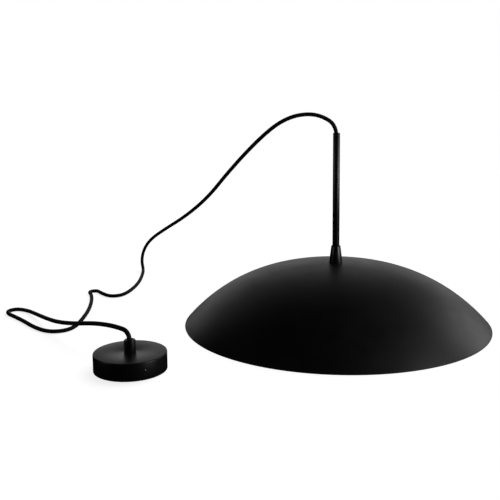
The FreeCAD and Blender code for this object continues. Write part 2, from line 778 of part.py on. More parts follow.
def make_terminal_block():
    """Two-pole terminal block for live and neutral, and its four clamping screws."""
    length, width = "Sizes.block_length", "Sizes.block_width"
    body = box(
        "block_blank", width, length, "Sizes.block_height",
        "Sizes.block_offset - Sizes.block_width / 2", "-Sizes.block_length / 2", BRACKET_TOP,
    )
    wells = []
    screws = []
    wire_holes = []
    for pole in (-1, 1):
        across = f"{pole} * Sizes.pole_pitch / 2"
        for side in (-1, 1):
            tag = f"{pole + 2}_{side + 2}"
            along = f"Sizes.block_offset + {side} * Sizes.row_pitch / 2"
            well = f"({BLOCK_TOP} - Sizes.well_depth)"
            wells.append(cylinder(
                "well_" + tag, "Sizes.well_radius", "Sizes.well_depth", along, across, well
            ))
            screws.append(cylinder(
                "block_screw_" + tag, "Sizes.block_screw_radius", "Sizes.block_screw_height",
                along, across, well,
            ))
            face = "-Sizes.block_width / 2" if side < 0 else "(Sizes.block_width / 2 - Sizes.wire_hole_depth)"
            wire_holes.append(cylinder(
                "wire_hole_" + tag, "Sizes.wire_hole_radius", "Sizes.wire_hole_depth",
                f"Sizes.block_offset + {face}", across, "Sizes.wire_level", Rotation(Vector(0, 1, 0), 90),
            ))
    block = place_in_canopy(cut("terminal_block", body, wells + wire_holes))
    group = place_in_canopy(fused("block_screws", screws))
    return [named(block, "terminal_block"), named(group, "block_screws")]


def make_canopy_leads():
    """Cores from the cord's end: live and neutral to the block, earth to the bracket's screw."""
    radius, level = size("Sizes.core_radius"), size("Sizes.wire_level")
    start = size("Sizes.spigot_foot") - CORD_END_DROP
    face = size("Sizes.block_offset + Sizes.block_width / 2")
    offset = size("Sizes.pole_pitch") / 2
    leads = []
    for name, side in (("canopy_live_lead", 1), ("canopy_neutral_lead", -1)):
        leads.append(tube(name, [
            (-0.8, 1.4 * side, start),
            (-0.8, 1.4 * side, start - 3.5),
            (face + 5, offset * side, level + 1.5),
            (face + 1.5, offset * side, level),
            (face - 3, offset * side, level),
        ], radius))
    screw_top = size(f"{BRACKET_TOP} + Sizes.earth_head_height")
    across = size("Sizes.earth_screw_offset")
    leads.append(tube("canopy_earth_lead", [
        (1.4, 0, start),
        (1.4, 0, start - 4),
        (across / 2, 0, screw_top + 4.6),
        (across, 0, screw_top + 4),
        (across, 0, screw_top),
    ], radius))
    for lead in leads:
        lead.Placement = Placement(
            Vector(size("Sizes.canopy_x"), size("Sizes.canopy_y"), 0), about_z("Sizes.canopy_turn")
        )
    return leads


def make_earth_screw():
    """Earth screw in the bracket."""
    head = cylinder(
        "earth_head", "Sizes.earth_head_radius", "Sizes.earth_head_height",
        x="Sizes.earth_screw_offset", z=BRACKET_TOP,
    )
    shank = cylinder(
        "earth_shank", "Sizes.earth_shank_radius", "Sizes.bracket_thickness",
        x="Sizes.earth_screw_offset", z="Sizes.bracket_level",
    )
    return named(place_in_canopy(fused("earth_screw", [head, shank])), "earth_screw")


# ---- the whole light ---------------------------------------------------------------------------

pieces = [make_shade_dome()]
pieces += make_stem()
pieces += make_crown_hardware()
pieces += make_holder_shells()
pieces += make_holder_contacts()
pieces += make_holder_leads()
pieces.append(tube("pendant_cord", CORD_ROUTE, size("Sizes.cord_radius")))
pieces.append(make_canopy_cup())
pieces += make_cord_grip()
pieces.append(make_ceiling_bracket())
pieces.append(make_side_screw("side_screw_front", 0))
pieces.append(make_side_screw("side_screw_rear", 180))
pieces += make_terminal_block()
pieces += make_canopy_leads()
pieces.append(make_earth_screw())
doc.recompute()

failed = [item.Name for item in doc.Objects if "Invalid" in item.State or "Error" in item.State]
if failed:
    raise ValueError(f"these features failed: {failed}")
for piece in pieces:
    if piece.Shape.isNull() or not piece.Shape.isValid() or not piece.Shape.Solids:
        raise ValueError(f"{piece.Label} has no valid solid")

os.makedirs("parts", exist_ok=True)
for piece in pieces:
    piece.Shape.exportStep(f"parts/{piece.Label}.step")
print(len(pieces), "parts written")
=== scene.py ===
"""Pendant ceiling light: a spun black shade on a stem, its textile cord and its ceiling canopy.

Each sub-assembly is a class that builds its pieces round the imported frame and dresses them.
"""

import logging
from dataclasses import dataclass, field
from enum import Enum
from math import asin, atan2, ceil, cos, degrees, floor, hypot, pi, radians, sin, sqrt, tau

import bmesh
import bpy
from mathutils import Matrix, Vector


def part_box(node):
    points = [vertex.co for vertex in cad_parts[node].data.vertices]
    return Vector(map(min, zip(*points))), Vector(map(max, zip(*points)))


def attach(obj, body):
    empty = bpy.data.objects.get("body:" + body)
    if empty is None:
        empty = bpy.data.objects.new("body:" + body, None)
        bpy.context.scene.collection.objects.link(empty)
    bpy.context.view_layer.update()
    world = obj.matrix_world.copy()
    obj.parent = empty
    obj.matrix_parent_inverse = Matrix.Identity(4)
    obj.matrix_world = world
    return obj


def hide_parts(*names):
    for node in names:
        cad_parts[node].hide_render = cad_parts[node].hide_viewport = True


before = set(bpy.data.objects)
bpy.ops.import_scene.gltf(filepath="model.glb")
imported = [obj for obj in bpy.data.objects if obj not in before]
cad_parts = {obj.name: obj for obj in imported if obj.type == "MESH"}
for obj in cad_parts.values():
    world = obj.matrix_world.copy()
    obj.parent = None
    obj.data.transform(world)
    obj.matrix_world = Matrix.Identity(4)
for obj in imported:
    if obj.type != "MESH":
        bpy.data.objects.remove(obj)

log = logging.getLogger("pendant_light")

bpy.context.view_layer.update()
MM = 0.001
MERGE = 1e-7
Point = tuple[float, float]
Colour = tuple[float, float, float]


class Body(Enum):
    """The bodies that the made pieces ride on."""

    LIGHT = "light"
    FRONT_SCREW = "side_screw_front"
    REAR_SCREW = "side_screw_rear"
    LOCK_SCREW = "lock_screw"


class Slot(Enum):
    """The record's material slots."""

    SHADE_COAT = "black_powder_coat"
    CANOPY_COAT = "black_canopy_coat"
    SATIN = "black_satin"
    NYLON = "black_nylon"
    SCREW = "black_screw"
    ZINC = "zinc_steel"
    BRASS = "brass"
    PHENOLIC = "black_phenolic"
    CERAMIC = "white_ceramic"
    POLYAMIDE = "white_polyamide"
    BROWN = "brown_insulation"
    BLUE = "blue_insulation"
    EARTH = "green_yellow_insulation"
    TEXTILE = "black_textile"


# ---- shader maths ------------------------------------------------------------------------------


class Value:
    """A shader socket that adds its own Math nodes where it stands in an expression."""

    def __init__(self, recipe: "Recipe", socket: bpy.types.NodeSocket) -> None:
        """Wraps one output socket of a recipe."""
        self.recipe = recipe
        self.socket = socket

    def _math(self, operation: str, *terms: "Value | float") -> "Value":
        """One Math node on the terms, in their order."""
        return self.recipe.node("Math", {"operation": operation}, dict(enumerate(terms)))

    def __add__(self, other: "Value | float") -> "Value":
        """The sum."""
        return self._math("ADD", self, other)

    __radd__ = __add__

    def __sub__(self, other: "Value | float") -> "Value":
        """The difference."""
        return self._math("SUBTRACT", self, other)

    def __rsub__(self, other: float) -> "Value":
        """The difference from a number."""
        return self._math("SUBTRACT", other, self)

    def __mul__(self, other: "Value | float") -> "Value":
        """The product."""
        return self._math("MULTIPLY", self, other)

    __rmul__ = __mul__

    def wave(self) -> "Value":
        """The sine of the value."""
        return self._math("SINE", self)

    def fraction(self) -> "Value":
        """The value's part after the point."""
        return self._math("FRACT", self)

    def higher(self, other: "Value | float") -> "Value":
        """The larger of two values."""
        return self._math("MAXIMUM", self, other)


class Recipe:
    """The node tree of one material."""

    NOISE_LOW = 0.3
    NOISE_HIGH = 0.7

    def __init__(self, name: str) -> None:
        """Starts an empty material.

        Args:
            name: The material's name.
        """
        self.material = bpy.data.materials.new(name)
        self.material.use_nodes = True
        self.tree = self.material.node_tree
        self.tree.nodes.clear()

    def node(self, kind: str, settings: dict, sockets: dict, output: "int | str" = 0) -> Value:
        """Adds a node.

        Args:
            kind: The node's type, without its ShaderNode prefix.
            settings: Its properties.
            sockets: Values or links of its inputs, by name or place.
            output: The output that is wanted.

        Returns:
            The wanted output.
        """
        made = self.tree.nodes.new("ShaderNode" + kind)
        for name, setting in settings.items():
            setattr(made, name, setting)
        for key, value in sockets.items():
            if isinstance(value, Value):
                self.tree.links.new(value.socket, made.inputs[key])
            else:
                made.inputs[key].default_value = value
        return Value(self, made.outputs[output])

    def place(self) -> Value:
        """Where the point is on the object."""
        return self.node("TexCoord", {}, {}, "Object")

    def axis(self, vector: Value, name: str) -> Value:
        """One component of a vector."""
        return self.node("SeparateXYZ", {}, {"Vector": vector}, name)

    def stretched(self, vector: Value, scale: tuple[float, float, float]) -> Value:
        """A vector scaled by a different amount along each axis."""
        return self.node("Mapping", {}, {"Vector": vector, "Scale": scale})

    def noise(self, vector: Value, grain: float, detail: float = 2.0) -> Value:
        """Cloudy noise.

        Args:
            vector: Where to read it.
            grain: The size of its blotches, in metres.
            detail: How many finer layers it has.

        Returns:
            A value between nought and one.
        """
        sockets = {"Vector": vector, "Scale": 1 / grain, "Detail": detail, "Roughness": 0.6}
        return self.node("TexNoise", {}, sockets, "Fac")

    def spots(self, vector: Value, grain: float) -> Value:
        """Distance to the nearest of many scattered points, a grain apart."""
        return self.node("TexVoronoi", {}, {"Vector": vector, "Scale": 1 / grain}, "Distance")

    def ramp(self, value: Value, low: float, high: float, start: float, end: float) -> Value:
        """The value taken from low..high to start..end, and held at the ends."""
        sockets = {"Value": value, 1: low, 2: high, 3: start, 4: end}
        return self.node("MapRange", {"clamp": True}, sockets)

    def spread(self, cloud: Value, start: float, end: float) -> Value:
        """Noise taken to start..end over the middle of its range, where most of it lies."""
        return self.ramp(cloud, self.NOISE_LOW, self.NOISE_HIGH, start, end)

    def blend(self, mask: "Value | float", under: "Value | Colour", over: "Value | Colour") -> Value:
        """A colour between two, by a mask."""
        sockets = {0: mask}
        for key, colour in ((6, under), (7, over)):
            sockets[key] = colour if isinstance(colour, Value) else (*colour, 1)
        return self.node("Mix", {"data_type": "RGBA"}, sockets, 2)

    def bump(self, height: Value, depth: float, strength: float = 1.0) -> Value:
        """A normal from a height between nought and one, over a depth in metres."""
        sockets = {"Height": height, "Distance": depth, "Strength": strength}
        return self.node("Bump", {}, sockets)

    def surface(self, **sockets: "Value | float | Colour") -> bpy.types.Material:
        """Ends the recipe in a Principled shader.

        Args:
            sockets: The shader's inputs, with an underscore for each space.

        Returns:
            The finished material.
        """
        named = {}
        for key, value in sockets.items():
            if isinstance(value, tuple) and len(value) == 3:
                value = (*value, 1)
            named[key.replace("_", " ")] = value
        shader = self.node("BsdfPrincipled", {}, named)
        ending = self.tree.nodes.new("ShaderNodeOutputMaterial")
        self.tree.links.new(shader.socket, ending.inputs["Surface"])
        return self.material


# ---- finishes ----------------------------------------------------------------------------------


@dataclass(frozen=True)
class PowderCoat:
    """Matte black powder coat: a fine even grain, with faint clouds in its sheen."""

    name: str
    colour: Colour = (0.0060, 0.0060, 0.0064)
    bloom: Colour = (0.0105, 0.0105, 0.0110)
    roughness: float = 0.46
    sheen_range: float = 0.06
    grain: float = 0.55 * MM
    depth: float = 0.030 * MM
    gloss: float = 0.42
    cloud_size: float = 30 * MM
    cloud_share: float = 0.7
    speck_size: float = 0.9 * MM
    speck_share: float = 0.3

    def material(self) -> bpy.types.Material:
        """The coat as a material."""
        recipe = Recipe(self.name)
        place = recipe.place()
        grain = recipe.noise(place, self.grain, 3)
        clouds = recipe.noise(place, self.cloud_size, 3)
        specks = recipe.ramp(recipe.noise(place, self.speck_size, 1), 0.62, 0.75, 0, 1)
        tint = recipe.spread(clouds, 0, self.cloud_share) + specks * self.speck_share
        half_range = self.sheen_range / 2
        rough = recipe.spread(clouds, self.roughness - half_range, self.roughness + half_range)
        return recipe.surface(
            Base_Color=recipe.blend(tint, self.colour, self.bloom),
            Roughness=rough,
            Specular_IOR_Level=self.gloss,
            Normal=recipe.bump(grain, self.depth),
        )


@dataclass(frozen=True)
class SatinPaint:
    """Smooth satin black paint on turned metal, with the trace of the lathe under it."""

    name: str
    colour: Colour = (0.0050, 0.0050, 0.0054)
    roughness: float = 0.34
    gloss: float = 0.5
    depth: float = 0.005 * MM
    dust_colour: Colour = (0.012, 0.012, 0.012)
    turning_size: float = 0.5 * MM
    smear_size: float = 9 * MM
    dust_size: float = 0.7 * MM

    def material(self) -> bpy.types.Material:
        """The paint as a material."""
        recipe = Recipe(self.name)
        place = recipe.place()
        turning = recipe.noise(recipe.stretched(place, (0.15, 0.15, 1)), self.turning_size, 2)
        smears = recipe.noise(place, self.smear_size, 3)
        rough = recipe.spread(smears, self.roughness - 0.04, self.roughness + 0.05)
        dust = recipe.ramp(recipe.noise(place, self.dust_size, 1), 0.66, 0.78, 0, 1)
        return recipe.surface(
            Base_Color=recipe.blend(dust, self.colour, self.dust_colour),
            Roughness=rough,
            Specular_IOR_Level=self.gloss,
            Normal=recipe.bump(turning, self.depth),
        )


@dataclass(frozen=True)
class BareMetal:
    """Plated or bare metal: bright, with fine scratches and a little tarnish in clouds."""

    name: str
    colour: Colour
    tarnish: Colour
    roughness: float = 0.3
    spangle: float = 4 * MM
    scratch_size: float = 0.4 * MM
    scratch_depth: float = 0.008 * MM

    def material(self) -> bpy.types.Material:
        """The metal as a material."""
        recipe = Recipe(self.name)
        place = recipe.place()
        spangle = recipe.noise(place, self.spangle, 4)
        scratches = recipe.noise(recipe.stretched(place, (1, 0.08, 1)), self.scratch_size, 2)
        rough = recipe.ramp(spangle, 0.25, 0.75, self.roughness - 0.08, self.roughness + 0.12)
        return recipe.surface(
            Base_Color=recipe.blend(recipe.ramp(spangle, 0.45, 0.8, 0, 1), self.colour, self.tarnish),
            Metallic=1.0,
            Roughness=rough + scratches * 0.06,
            Normal=recipe.bump(scratches, self.scratch_depth),
        )


@dataclass(frozen=True)
class Plastic:
    """Moulded plastic or glazed ceramic: clouded colour, small specks and a faint ripple."""

    name: str
    colour: Colour
    speck: Colour
    roughness: float = 0.32
    ripple: float = 3 * MM
    depth: float = 0.03 * MM
    glaze: float = 0.0
    speck_gap: float = 1.3 * MM

    def material(self) -> bpy.types.Material:
        """The moulding as a material."""
        recipe = Recipe(self.name)
        place = recipe.place()
        ripple = recipe.noise(place, self.ripple, 2)
        specks = recipe.ramp(recipe.spots(place, self.speck_gap), 0.05, 0.16, 1, 0)
        rough = recipe.spread(ripple, self.roughness - 0.05, self.roughness + 0.07)
        return recipe.surface(
            Base_Color=recipe.blend(specks, self.colour, self.speck),
            Roughness=rough,
            Coat_Weight=self.glaze,
            Normal=recipe.bump(ripple, self.depth),
        )


@dataclass(frozen=True)
class StripedInsulation:
    """Green core insulation with yellow stripes along it."""

    name: str
    colour: Colour = (0.02, 0.20, 0.03)
    stripe: Colour = (0.75, 0.55, 0.02)
    pitch: float = 1.5 * MM

    def material(self) -> bpy.types.Material:
        """The insulation as a material."""
        recipe = Recipe(self.name)
        place = recipe.place()
        wander = recipe.noise(place, 4 * MM, 1) * 0.5
        across = recipe.axis(place, "X") * (tau / self.pitch) + wander
        stripe = recipe.ramp(across.wave(), -0.15, 0.15, 0, 1)
        return recipe.surface(
            Base_Color=recipe.blend(stripe, self.colour, self.stripe),
            Roughness=recipe.spread(recipe.noise(place, 2 * MM, 2), 0.36, 0.48),
        )


@dataclass(frozen=True)
class Braid:
    """Black textile braid: two families of yarns that pass over and under each other, its colour painted
    darker in the valleys between yarns as painted shade and lighter on their crests.
    """

    name: str = "textile_braid"
    colour: Colour = (0.0042, 0.0042, 0.0046)
    # Crest colour: the yarns are painted lighter on their crests than in the valleys, which is painted
    # shade.
    raised: Colour = (0.0130, 0.0130, 0.0138)
    yarns: int = 8
    fibre: float = 0.12 * MM
    lie: float = 17.6 * MM
    fuzz: float = 2.5 * MM
    depth: float = 0.1 * MM

    def relief(self, along: float, around: float) -> float:
        """How far the braid stands out at a place on the cord.

        Args:
            along: Distance along the cord, in metres.
            around: Share of the way round it.

        Returns:
            A height between nought and one.
        """
        right = self.yarns * (around + along / self.lie)
        left = self.yarns * (around - along / self.lie)
        over_right = 0.5 + 0.5 * sin(pi * (left + floor(right)))
        over_left = 0.5 - 0.5 * sin(pi * (right + floor(left)))
        return max(sin(pi * (right % 1)) * over_right, sin(pi * (left % 1)) * over_left)

    def material(self, length: float, radius: float) -> bpy.types.Material:
        """The braid as a material that follows the cord's own UV map.

        Args:
            length: The cord's length.
            radius: The cord's radius.

        Returns:
            The material.
        """
        recipe = Recipe(self.name)
        layout = recipe.node("UVMap", {"uv_map": "UVMap"}, {}, "UV")
        along = recipe.axis(layout, "X") * (length * self.yarns / self.lie)
        around = recipe.axis(layout, "Y") * self.yarns
        heights = []
        right, left = around + along, around - along
        for first, second, sign in ((right, left, 1), (left, right, -1)):
            over = ((second + (first - first.fraction())) * pi).wave() * (0.5 * sign) + 0.5
            heights.append((first.fraction() * pi).wave() * over)
        height = heights[0].higher(heights[1])
        metres = recipe.stretched(layout, (length, tau * radius, 1))
        fibres = recipe.noise(metres, self.fibre, 2)
        fuzz = recipe.noise(metres, self.fuzz, 3)
        # Painted shade: the colour follows the yarns' height, darker in the valleys between them and
        # lighter on their crests; fibres and fuzz add random tone.
        tint = recipe.ramp(height * 0.8 + fibres * 0.35 + fuzz * 0.2, 0.35, 1.25, 0, 1)
        return recipe.surface(
            Base_Color=recipe.blend(tint, self.colour, self.raised),
            Roughness=recipe.spread(fibres, 0.62, 0.8),
            Specular_IOR_Level=0.22,
            Sheen_Weight=0.04,
            Sheen_Roughness=0.5,
            Normal=recipe.bump(height * 0.7 + fibres * 0.3, self.depth),
        )


@dataclass(frozen=True)
class InnerBraid:
    """The same braid where the cord runs inside a fitting, straight up and down, its colour painted darker
    in the hollows between raised cells as painted shade and lighter on them.
    """

    name: str = "textile_braid_inside"
    colour: Colour = (0.0042, 0.0042, 0.0046)
    # Colour painted on the raised cells; the hollows between them keep the darker colour as painted shade.
    raised: Colour = (0.0130, 0.0130, 0.0138)
    cell: float = 2.2 * MM
    fibre: float = 0.12 * MM
    depth: float = 0.1 * MM

    def material(self) -> bpy.types.Material:
        """The braid as a material on object coordinates."""
        recipe = Recipe(self.name)
        place = recipe.place()
        cells = recipe.spots(recipe.stretched(place, (1, 1, 0.6)), self.cell)
        fibres = recipe.noise(place, self.fibre, 2)
        # Painted shade: darker in the hollows between the raised cells and lighter on them, with random
        # fibre tone over it.
        tint = recipe.ramp(1 - cells, 0.4, 1, 0, 0.8) + fibres * 0.2
        return recipe.surface(
            Base_Color=recipe.blend(tint, self.colour, self.raised),
            Roughness=recipe.spread(fibres, 0.62, 0.8),
            Normal=recipe.bump(1 - cells, self.depth),
        )


class Wardrobe:
    """Every finish of the light, made once."""

    def __init__(self) -> None:
        """Makes the materials that don't depend on a piece's size."""
        brass, dull_brass = (0.72, 0.50, 0.20), (0.46, 0.29, 0.10)
        white, ivory = (0.82, 0.81, 0.78), (0.60, 0.58, 0.52)
        finishes = {
            Slot.SHADE_COAT: PowderCoat("shade_powder_coat"),
            Slot.CANOPY_COAT: PowderCoat(
                "canopy_powder_coat", roughness=0.38, grain=0.4 * MM, depth=0.008 * MM
            ),
            Slot.SATIN: SatinPaint("satin_black_paint"),
            Slot.NYLON: Plastic("black_nylon", (0.006, 0.006, 0.006), (0.012, 0.012, 0.012), 0.42),
            Slot.SCREW: SatinPaint("blackened_screw", (0.012, 0.012, 0.013), 0.3, 0.8),
            Slot.ZINC: BareMetal("zinc_plated_steel", (0.60, 0.61, 0.62), (0.42, 0.43, 0.45), 0.34),
            Slot.BRASS: BareMetal("plain_brass", brass, dull_brass, 0.26),
            Slot.PHENOLIC: Plastic("black_phenolic", (0.008, 0.0075, 0.007), (0.02, 0.018, 0.016), 0.24),
            Slot.CERAMIC: Plastic("glazed_ceramic", white, ivory, 0.2, glaze=0.6),
            Slot.POLYAMIDE: Plastic("natural_polyamide", (0.78, 0.77, 0.72), (0.70, 0.69, 0.62), 0.4),
            Slot.BROWN: Plastic("brown_core", (0.13, 0.045, 0.015), (0.16, 0.06, 0.02), 0.42),
            Slot.BLUE: Plastic("blue_core", (0.02, 0.09, 0.42), (0.03, 0.12, 0.48), 0.42),
            Slot.EARTH: StripedInsulation("green_yellow_core"),
            Slot.TEXTILE: InnerBraid(),
        }
        self.materials = {slot: finish.material() for slot, finish in finishes.items()}

    def of(self, slot: Slot) -> bpy.types.Material:
        """The material of a slot."""
        return self.materials[slot]


# ---- mesh tools --------------------------------------------------------------------------------


class Outline:
    """Half a section, drawn in the XZ plane from point to point and then turned about Z."""

    def __init__(self, across: float, up: float) -> None:
        """Starts the outline at a radius and a height."""
        self.mesh = bmesh.new()
        self.start = self.mesh.verts.new((across, 0, up))
        self.end = self.start

    def to(self, *corners: Point) -> "Outline":
        """Draws straight lines to the corners, each a radius and a height."""
        for across, up in corners:
            self.end = bmesh.ops.extrude_vert_indiv(self.mesh, verts=[self.end])["verts"][0]
            self.end.co = (across, 0, up)
        return self

    def arc(self, centre: Point, angle: float, steps: int) -> "Outline":
        """Draws an arc.

        Args:
            centre: Its radius and height.
            angle: How far it turns from up towards out, in degrees.
            steps: How many chords it has.

        Returns:
            The outline.
        """
        drawn = bmesh.ops.spin(
            self.mesh, geom=[self.end], cent=(centre[0], 0, centre[1]), axis=(0, 1, 0),
            angle=radians(angle), steps=steps, use_merge=False, use_duplicate=False,
        )
        self.end = next(item for item in drawn["geom_last"] if isinstance(item, bmesh.types.BMVert))
        return self

    def thread(self, foot: float, pitch: float, depth: float) -> "Outline":
        """Draws a screw thread straight down to a level, as rings a pitch apart."""
        radius, level = self.end.co.x, self.end.co.z
        for _ in range(round((level - foot) / pitch) - 1):
            self.to((radius - depth, level - pitch / 2), (radius, level - pitch))
            level -= pitch
        return self.to((radius, foot))

    def turned(self, segments: int, closed: bool = True) -> bmesh.types.BMesh:
        """Turns the outline into a solid.

        Args:
            segments: Faces round the axis.
            closed: Whether a last line joins the outline's two ends.

        Returns:
            The solid, its faces outwards.
        """
        if closed:
            self.mesh.edges.new((self.end, self.start))
        bmesh.ops.spin(
            self.mesh, geom=self.mesh.verts[:] + self.mesh.edges[:], cent=(0, 0, 0), axis=(0, 0, 1),
            angle=tau, steps=segments, use_merge=True, use_duplicate=False,
        )
        bmesh.ops.remove_doubles(self.mesh, verts=self.mesh.verts, dist=MERGE)
        bmesh.ops.dissolve_degenerate(self.mesh, dist=MERGE, edges=self.mesh.edges)
        bmesh.ops.recalc_face_normals(self.mesh, faces=self.mesh.faces)
        return self.mesh


def rounded(mesh: bmesh.types.BMesh, radius: float, steps: int = 2, sharp: float = 25) -> bmesh.types.BMesh:
    """Rounds every edge whose faces meet at more than an angle.

    Args:
        mesh: The solid.
        radius: The rounding.
        steps: Faces across it.
        sharp: The angle, in degrees.

    Returns:
        The same solid.
    """
    edges = [edge for edge in mesh.edges if edge.is_manifold and edge.calc_face_angle() > radians(sharp)]
    bmesh.ops.bevel(
        mesh, geom=edges, offset=radius, offset_type="OFFSET", affect="EDGES", segments=steps,
        profile=0.5, material=-1, clamp_overlap=True,
    )
    return mesh


def moved(mesh: bmesh.types.BMesh, matrix: Matrix) -> bmesh.types.BMesh:
    """Puts a solid in its place."""
    bmesh.ops.transform(mesh, matrix=matrix, verts=mesh.verts)
    return mesh


def joined(meshes: list[bmesh.types.BMesh]) -> bmesh.types.BMesh:
    """Several separate solids as one mesh."""
    whole = bmesh.new()
    for mesh in meshes:
        scrap = bpy.data.meshes.new("scrap")
        mesh.to_mesh(scrap)
        whole.from_mesh(scrap)
        mesh.free()
        bpy.data.meshes.remove(scrap)
    return whole


def block(size: tuple[float, float, float], matrix: Matrix) -> bmesh.types.BMesh:
    """A box of a size, its middle at the matrix's origin."""
    mesh = bmesh.new()
    bmesh.ops.create_cube(mesh, size=1, matrix=matrix @ Matrix.Diagonal((*size, 1)))
    return mesh


def rod(radius: float, length: float, matrix: Matrix, sides: int = 32) -> bmesh.types.BMesh:
    """A round bar, its middle at the matrix's origin."""
    mesh = bmesh.new()
    bmesh.ops.create_cone(
        mesh, cap_ends=True, segments=sides, radius1=radius, radius2=radius, depth=length, matrix=matrix
    )
    return mesh


def carved(mesh: bmesh.types.BMesh, tools: list[bmesh.types.BMesh]) -> bmesh.types.BMesh:
    """Takes the tools away from a solid.

    Args:
        mesh: The solid.
        tools: Solids that are cut out of it and used up.

    Returns:
        The cut solid.
    """
    solid, tool = (object_of(item, "scrap") for item in (mesh, joined(tools)))
    cutting = solid.modifiers.new("cut", "BOOLEAN")
    cutting.object = tool
    cutting.operation = "DIFFERENCE"
    cutting.solver = "EXACT"
    bpy.context.view_layer.update()
    evaluated = solid.evaluated_get(bpy.context.evaluated_depsgraph_get())
    result = bmesh.new()
    result.from_mesh(evaluated.to_mesh())
    evaluated.to_mesh_clear()
    for scrap in (solid, tool):
        bpy.data.meshes.remove(scrap.data)
    bmesh.ops.remove_doubles(result, verts=result.verts, dist=MERGE)
    bmesh.ops.dissolve_degenerate(result, dist=MERGE, edges=result.edges)
    return result


def object_of(mesh: bmesh.types.BMesh, name: str) -> bpy.types.Object:
    """An object that holds a mesh, which is used up."""
    data = bpy.data.meshes.new(name)
    mesh.to_mesh(data)
    mesh.free()
    made = bpy.data.objects.new(name, data)
    bpy.context.scene.collection.objects.link(made)
    return made


def hexagon_nut(across_flats: float, hole: float, foot: float, head: float) -> bmesh.types.BMesh:
    """A nut on the vertical axis, with rounded edges.

    Args:
        across_flats: Its width between two flats.
        hole: Its hole's radius.
        foot: Its lower level.
        head: Its upper level.

    Returns:
        The nut.
    """
    mesh = bmesh.new()
    cuts = 8
    level = Matrix.Translation((0, 0, foot))
    corner = across_flats / sqrt(3)
    hexagon = bmesh.ops.create_circle(mesh, segments=6, radius=corner, matrix=level)["verts"]
    sides = list({edge for vert in hexagon for edge in vert.link_edges})
    bmesh.ops.subdivide_edges(mesh, edges=sides, cuts=cuts - 1)
    outer = mesh.edges[:]
    inner_verts = bmesh.ops.create_circle(mesh, segments=6 * cuts, radius=hole, matrix=level)["verts"]
    inner = list({edge for vert in inner_verts for edge in vert.link_edges})
    bmesh.ops.bridge_loops(mesh, edges=outer + inner)
    raised = bmesh.ops.extrude_face_region(mesh, geom=mesh.faces[:], use_keep_orig=True)["geom"]
    tops = [item for item in raised if isinstance(item, bmesh.types.BMVert)]
    bmesh.ops.translate(mesh, vec=(0, 0, head - foot), verts=tops)
    bmesh.ops.recalc_face_normals(mesh, faces=mesh.faces)
    return rounded(mesh, 0.35 * MM)


def finished(
    mesh: bmesh.types.BMesh, name: str, material: bpy.types.Material, body: Body,
    nodes: tuple[str, ...], crease: float = 32,
) -> bpy.types.Object:
    """Makes a mesh a piece of the light.

    Args:
        mesh: The mesh, which is used up.
        name: The piece's name.
        material: What it is dressed in.
        body: The body it rides on.
        nodes: The frame's nodes it stands for.
        crease: The angle over which an edge is drawn sharp, in degrees.

    Returns:
        The piece.
    """
    piece = object_of(mesh, name)
    piece.data.shade_smooth()
    piece.data.set_sharp_from_angle(angle=radians(crease))
    piece.data.materials.append(material)
    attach(piece, body.value)
    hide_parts(*nodes)
    log.info("%s: %d faces, on %s", name, len(piece.data.polygons), body.value)
    return piece


def levels(node: str) -> tuple[float, float]:
    """The lowest and highest level of one of the frame's nodes."""
    low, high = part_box(node)
    return low[2], high[2]


def middle(node: str) -> Vector:
    """The middle of the box of one of the frame's nodes."""
    low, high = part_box(node)
    return (Vector(low) + Vector(high)) / 2


@dataclass
class Assembly:
    """A part of the light whose pieces are dressed from one wardrobe."""

    wardrobe: Wardrobe

    def dress(
        self, mesh: bmesh.types.BMesh, name: str, slot: Slot, node: str, body: Body = Body.LIGHT
    ) -> None:
        """Makes a mesh the piece that stands for one node of the frame."""
        finished(mesh, name, self.wardrobe.of(slot), body, (node,))


# ---- studio ------------------------------------------------------------------------------------


def link_to_floor(lamp: bpy.types.Object, floor: bpy.types.Object, state: str) -> None:
    """Adds a light to the scene and settles whether it shines on the floor.

    Args:
        lamp: The light.
        floor: The floor.
        state: INCLUDE for the floor alone, or EXCLUDE for everything but the floor.
    """
    bpy.context.scene.collection.objects.link(lamp)
    lit = bpy.data.collections.new(lamp.name + "_receivers")
    lit.objects.link(floor)
    lit.collection_objects[0].light_linking.link_state = state
    lamp.light_linking.receiver_collection = lit


@dataclass(frozen=True)
class Softbox:
    """A rectangular light.

    Its direction is given by an azimuth round the aim, nought being in front and positive to the
    right, and an elevation.
    """

    name: str
    azimuth: float
    elevation: float
    distance: float
    width: float
    height: float
    power: float
    aim: tuple[float, float, float] = (0, 0, 0.08)

    def build(self, floor: bpy.types.Object) -> None:
        """Hangs the light, which shines on everything but the floor.

        Args:
            floor: The floor.
        """
        data = bpy.data.lights.new(self.name, "AREA")
        data.shape = "RECTANGLE"
        data.size = self.width
        data.size_y = self.height
        data.energy = self.power
        lamp = bpy.data.objects.new(self.name, data)
        around, up = radians(self.azimuth), radians(self.elevation)
        outward = Vector((sin(around) * cos(up), -cos(around) * cos(up), sin(up)))
        lamp.location = Vector(self.aim) + outward * self.distance
        lamp.rotation_euler = outward.to_track_quat("Z", "Y").to_euler()
        lamp.visible_camera = False
        link_to_floor(lamp, floor, "EXCLUDE")


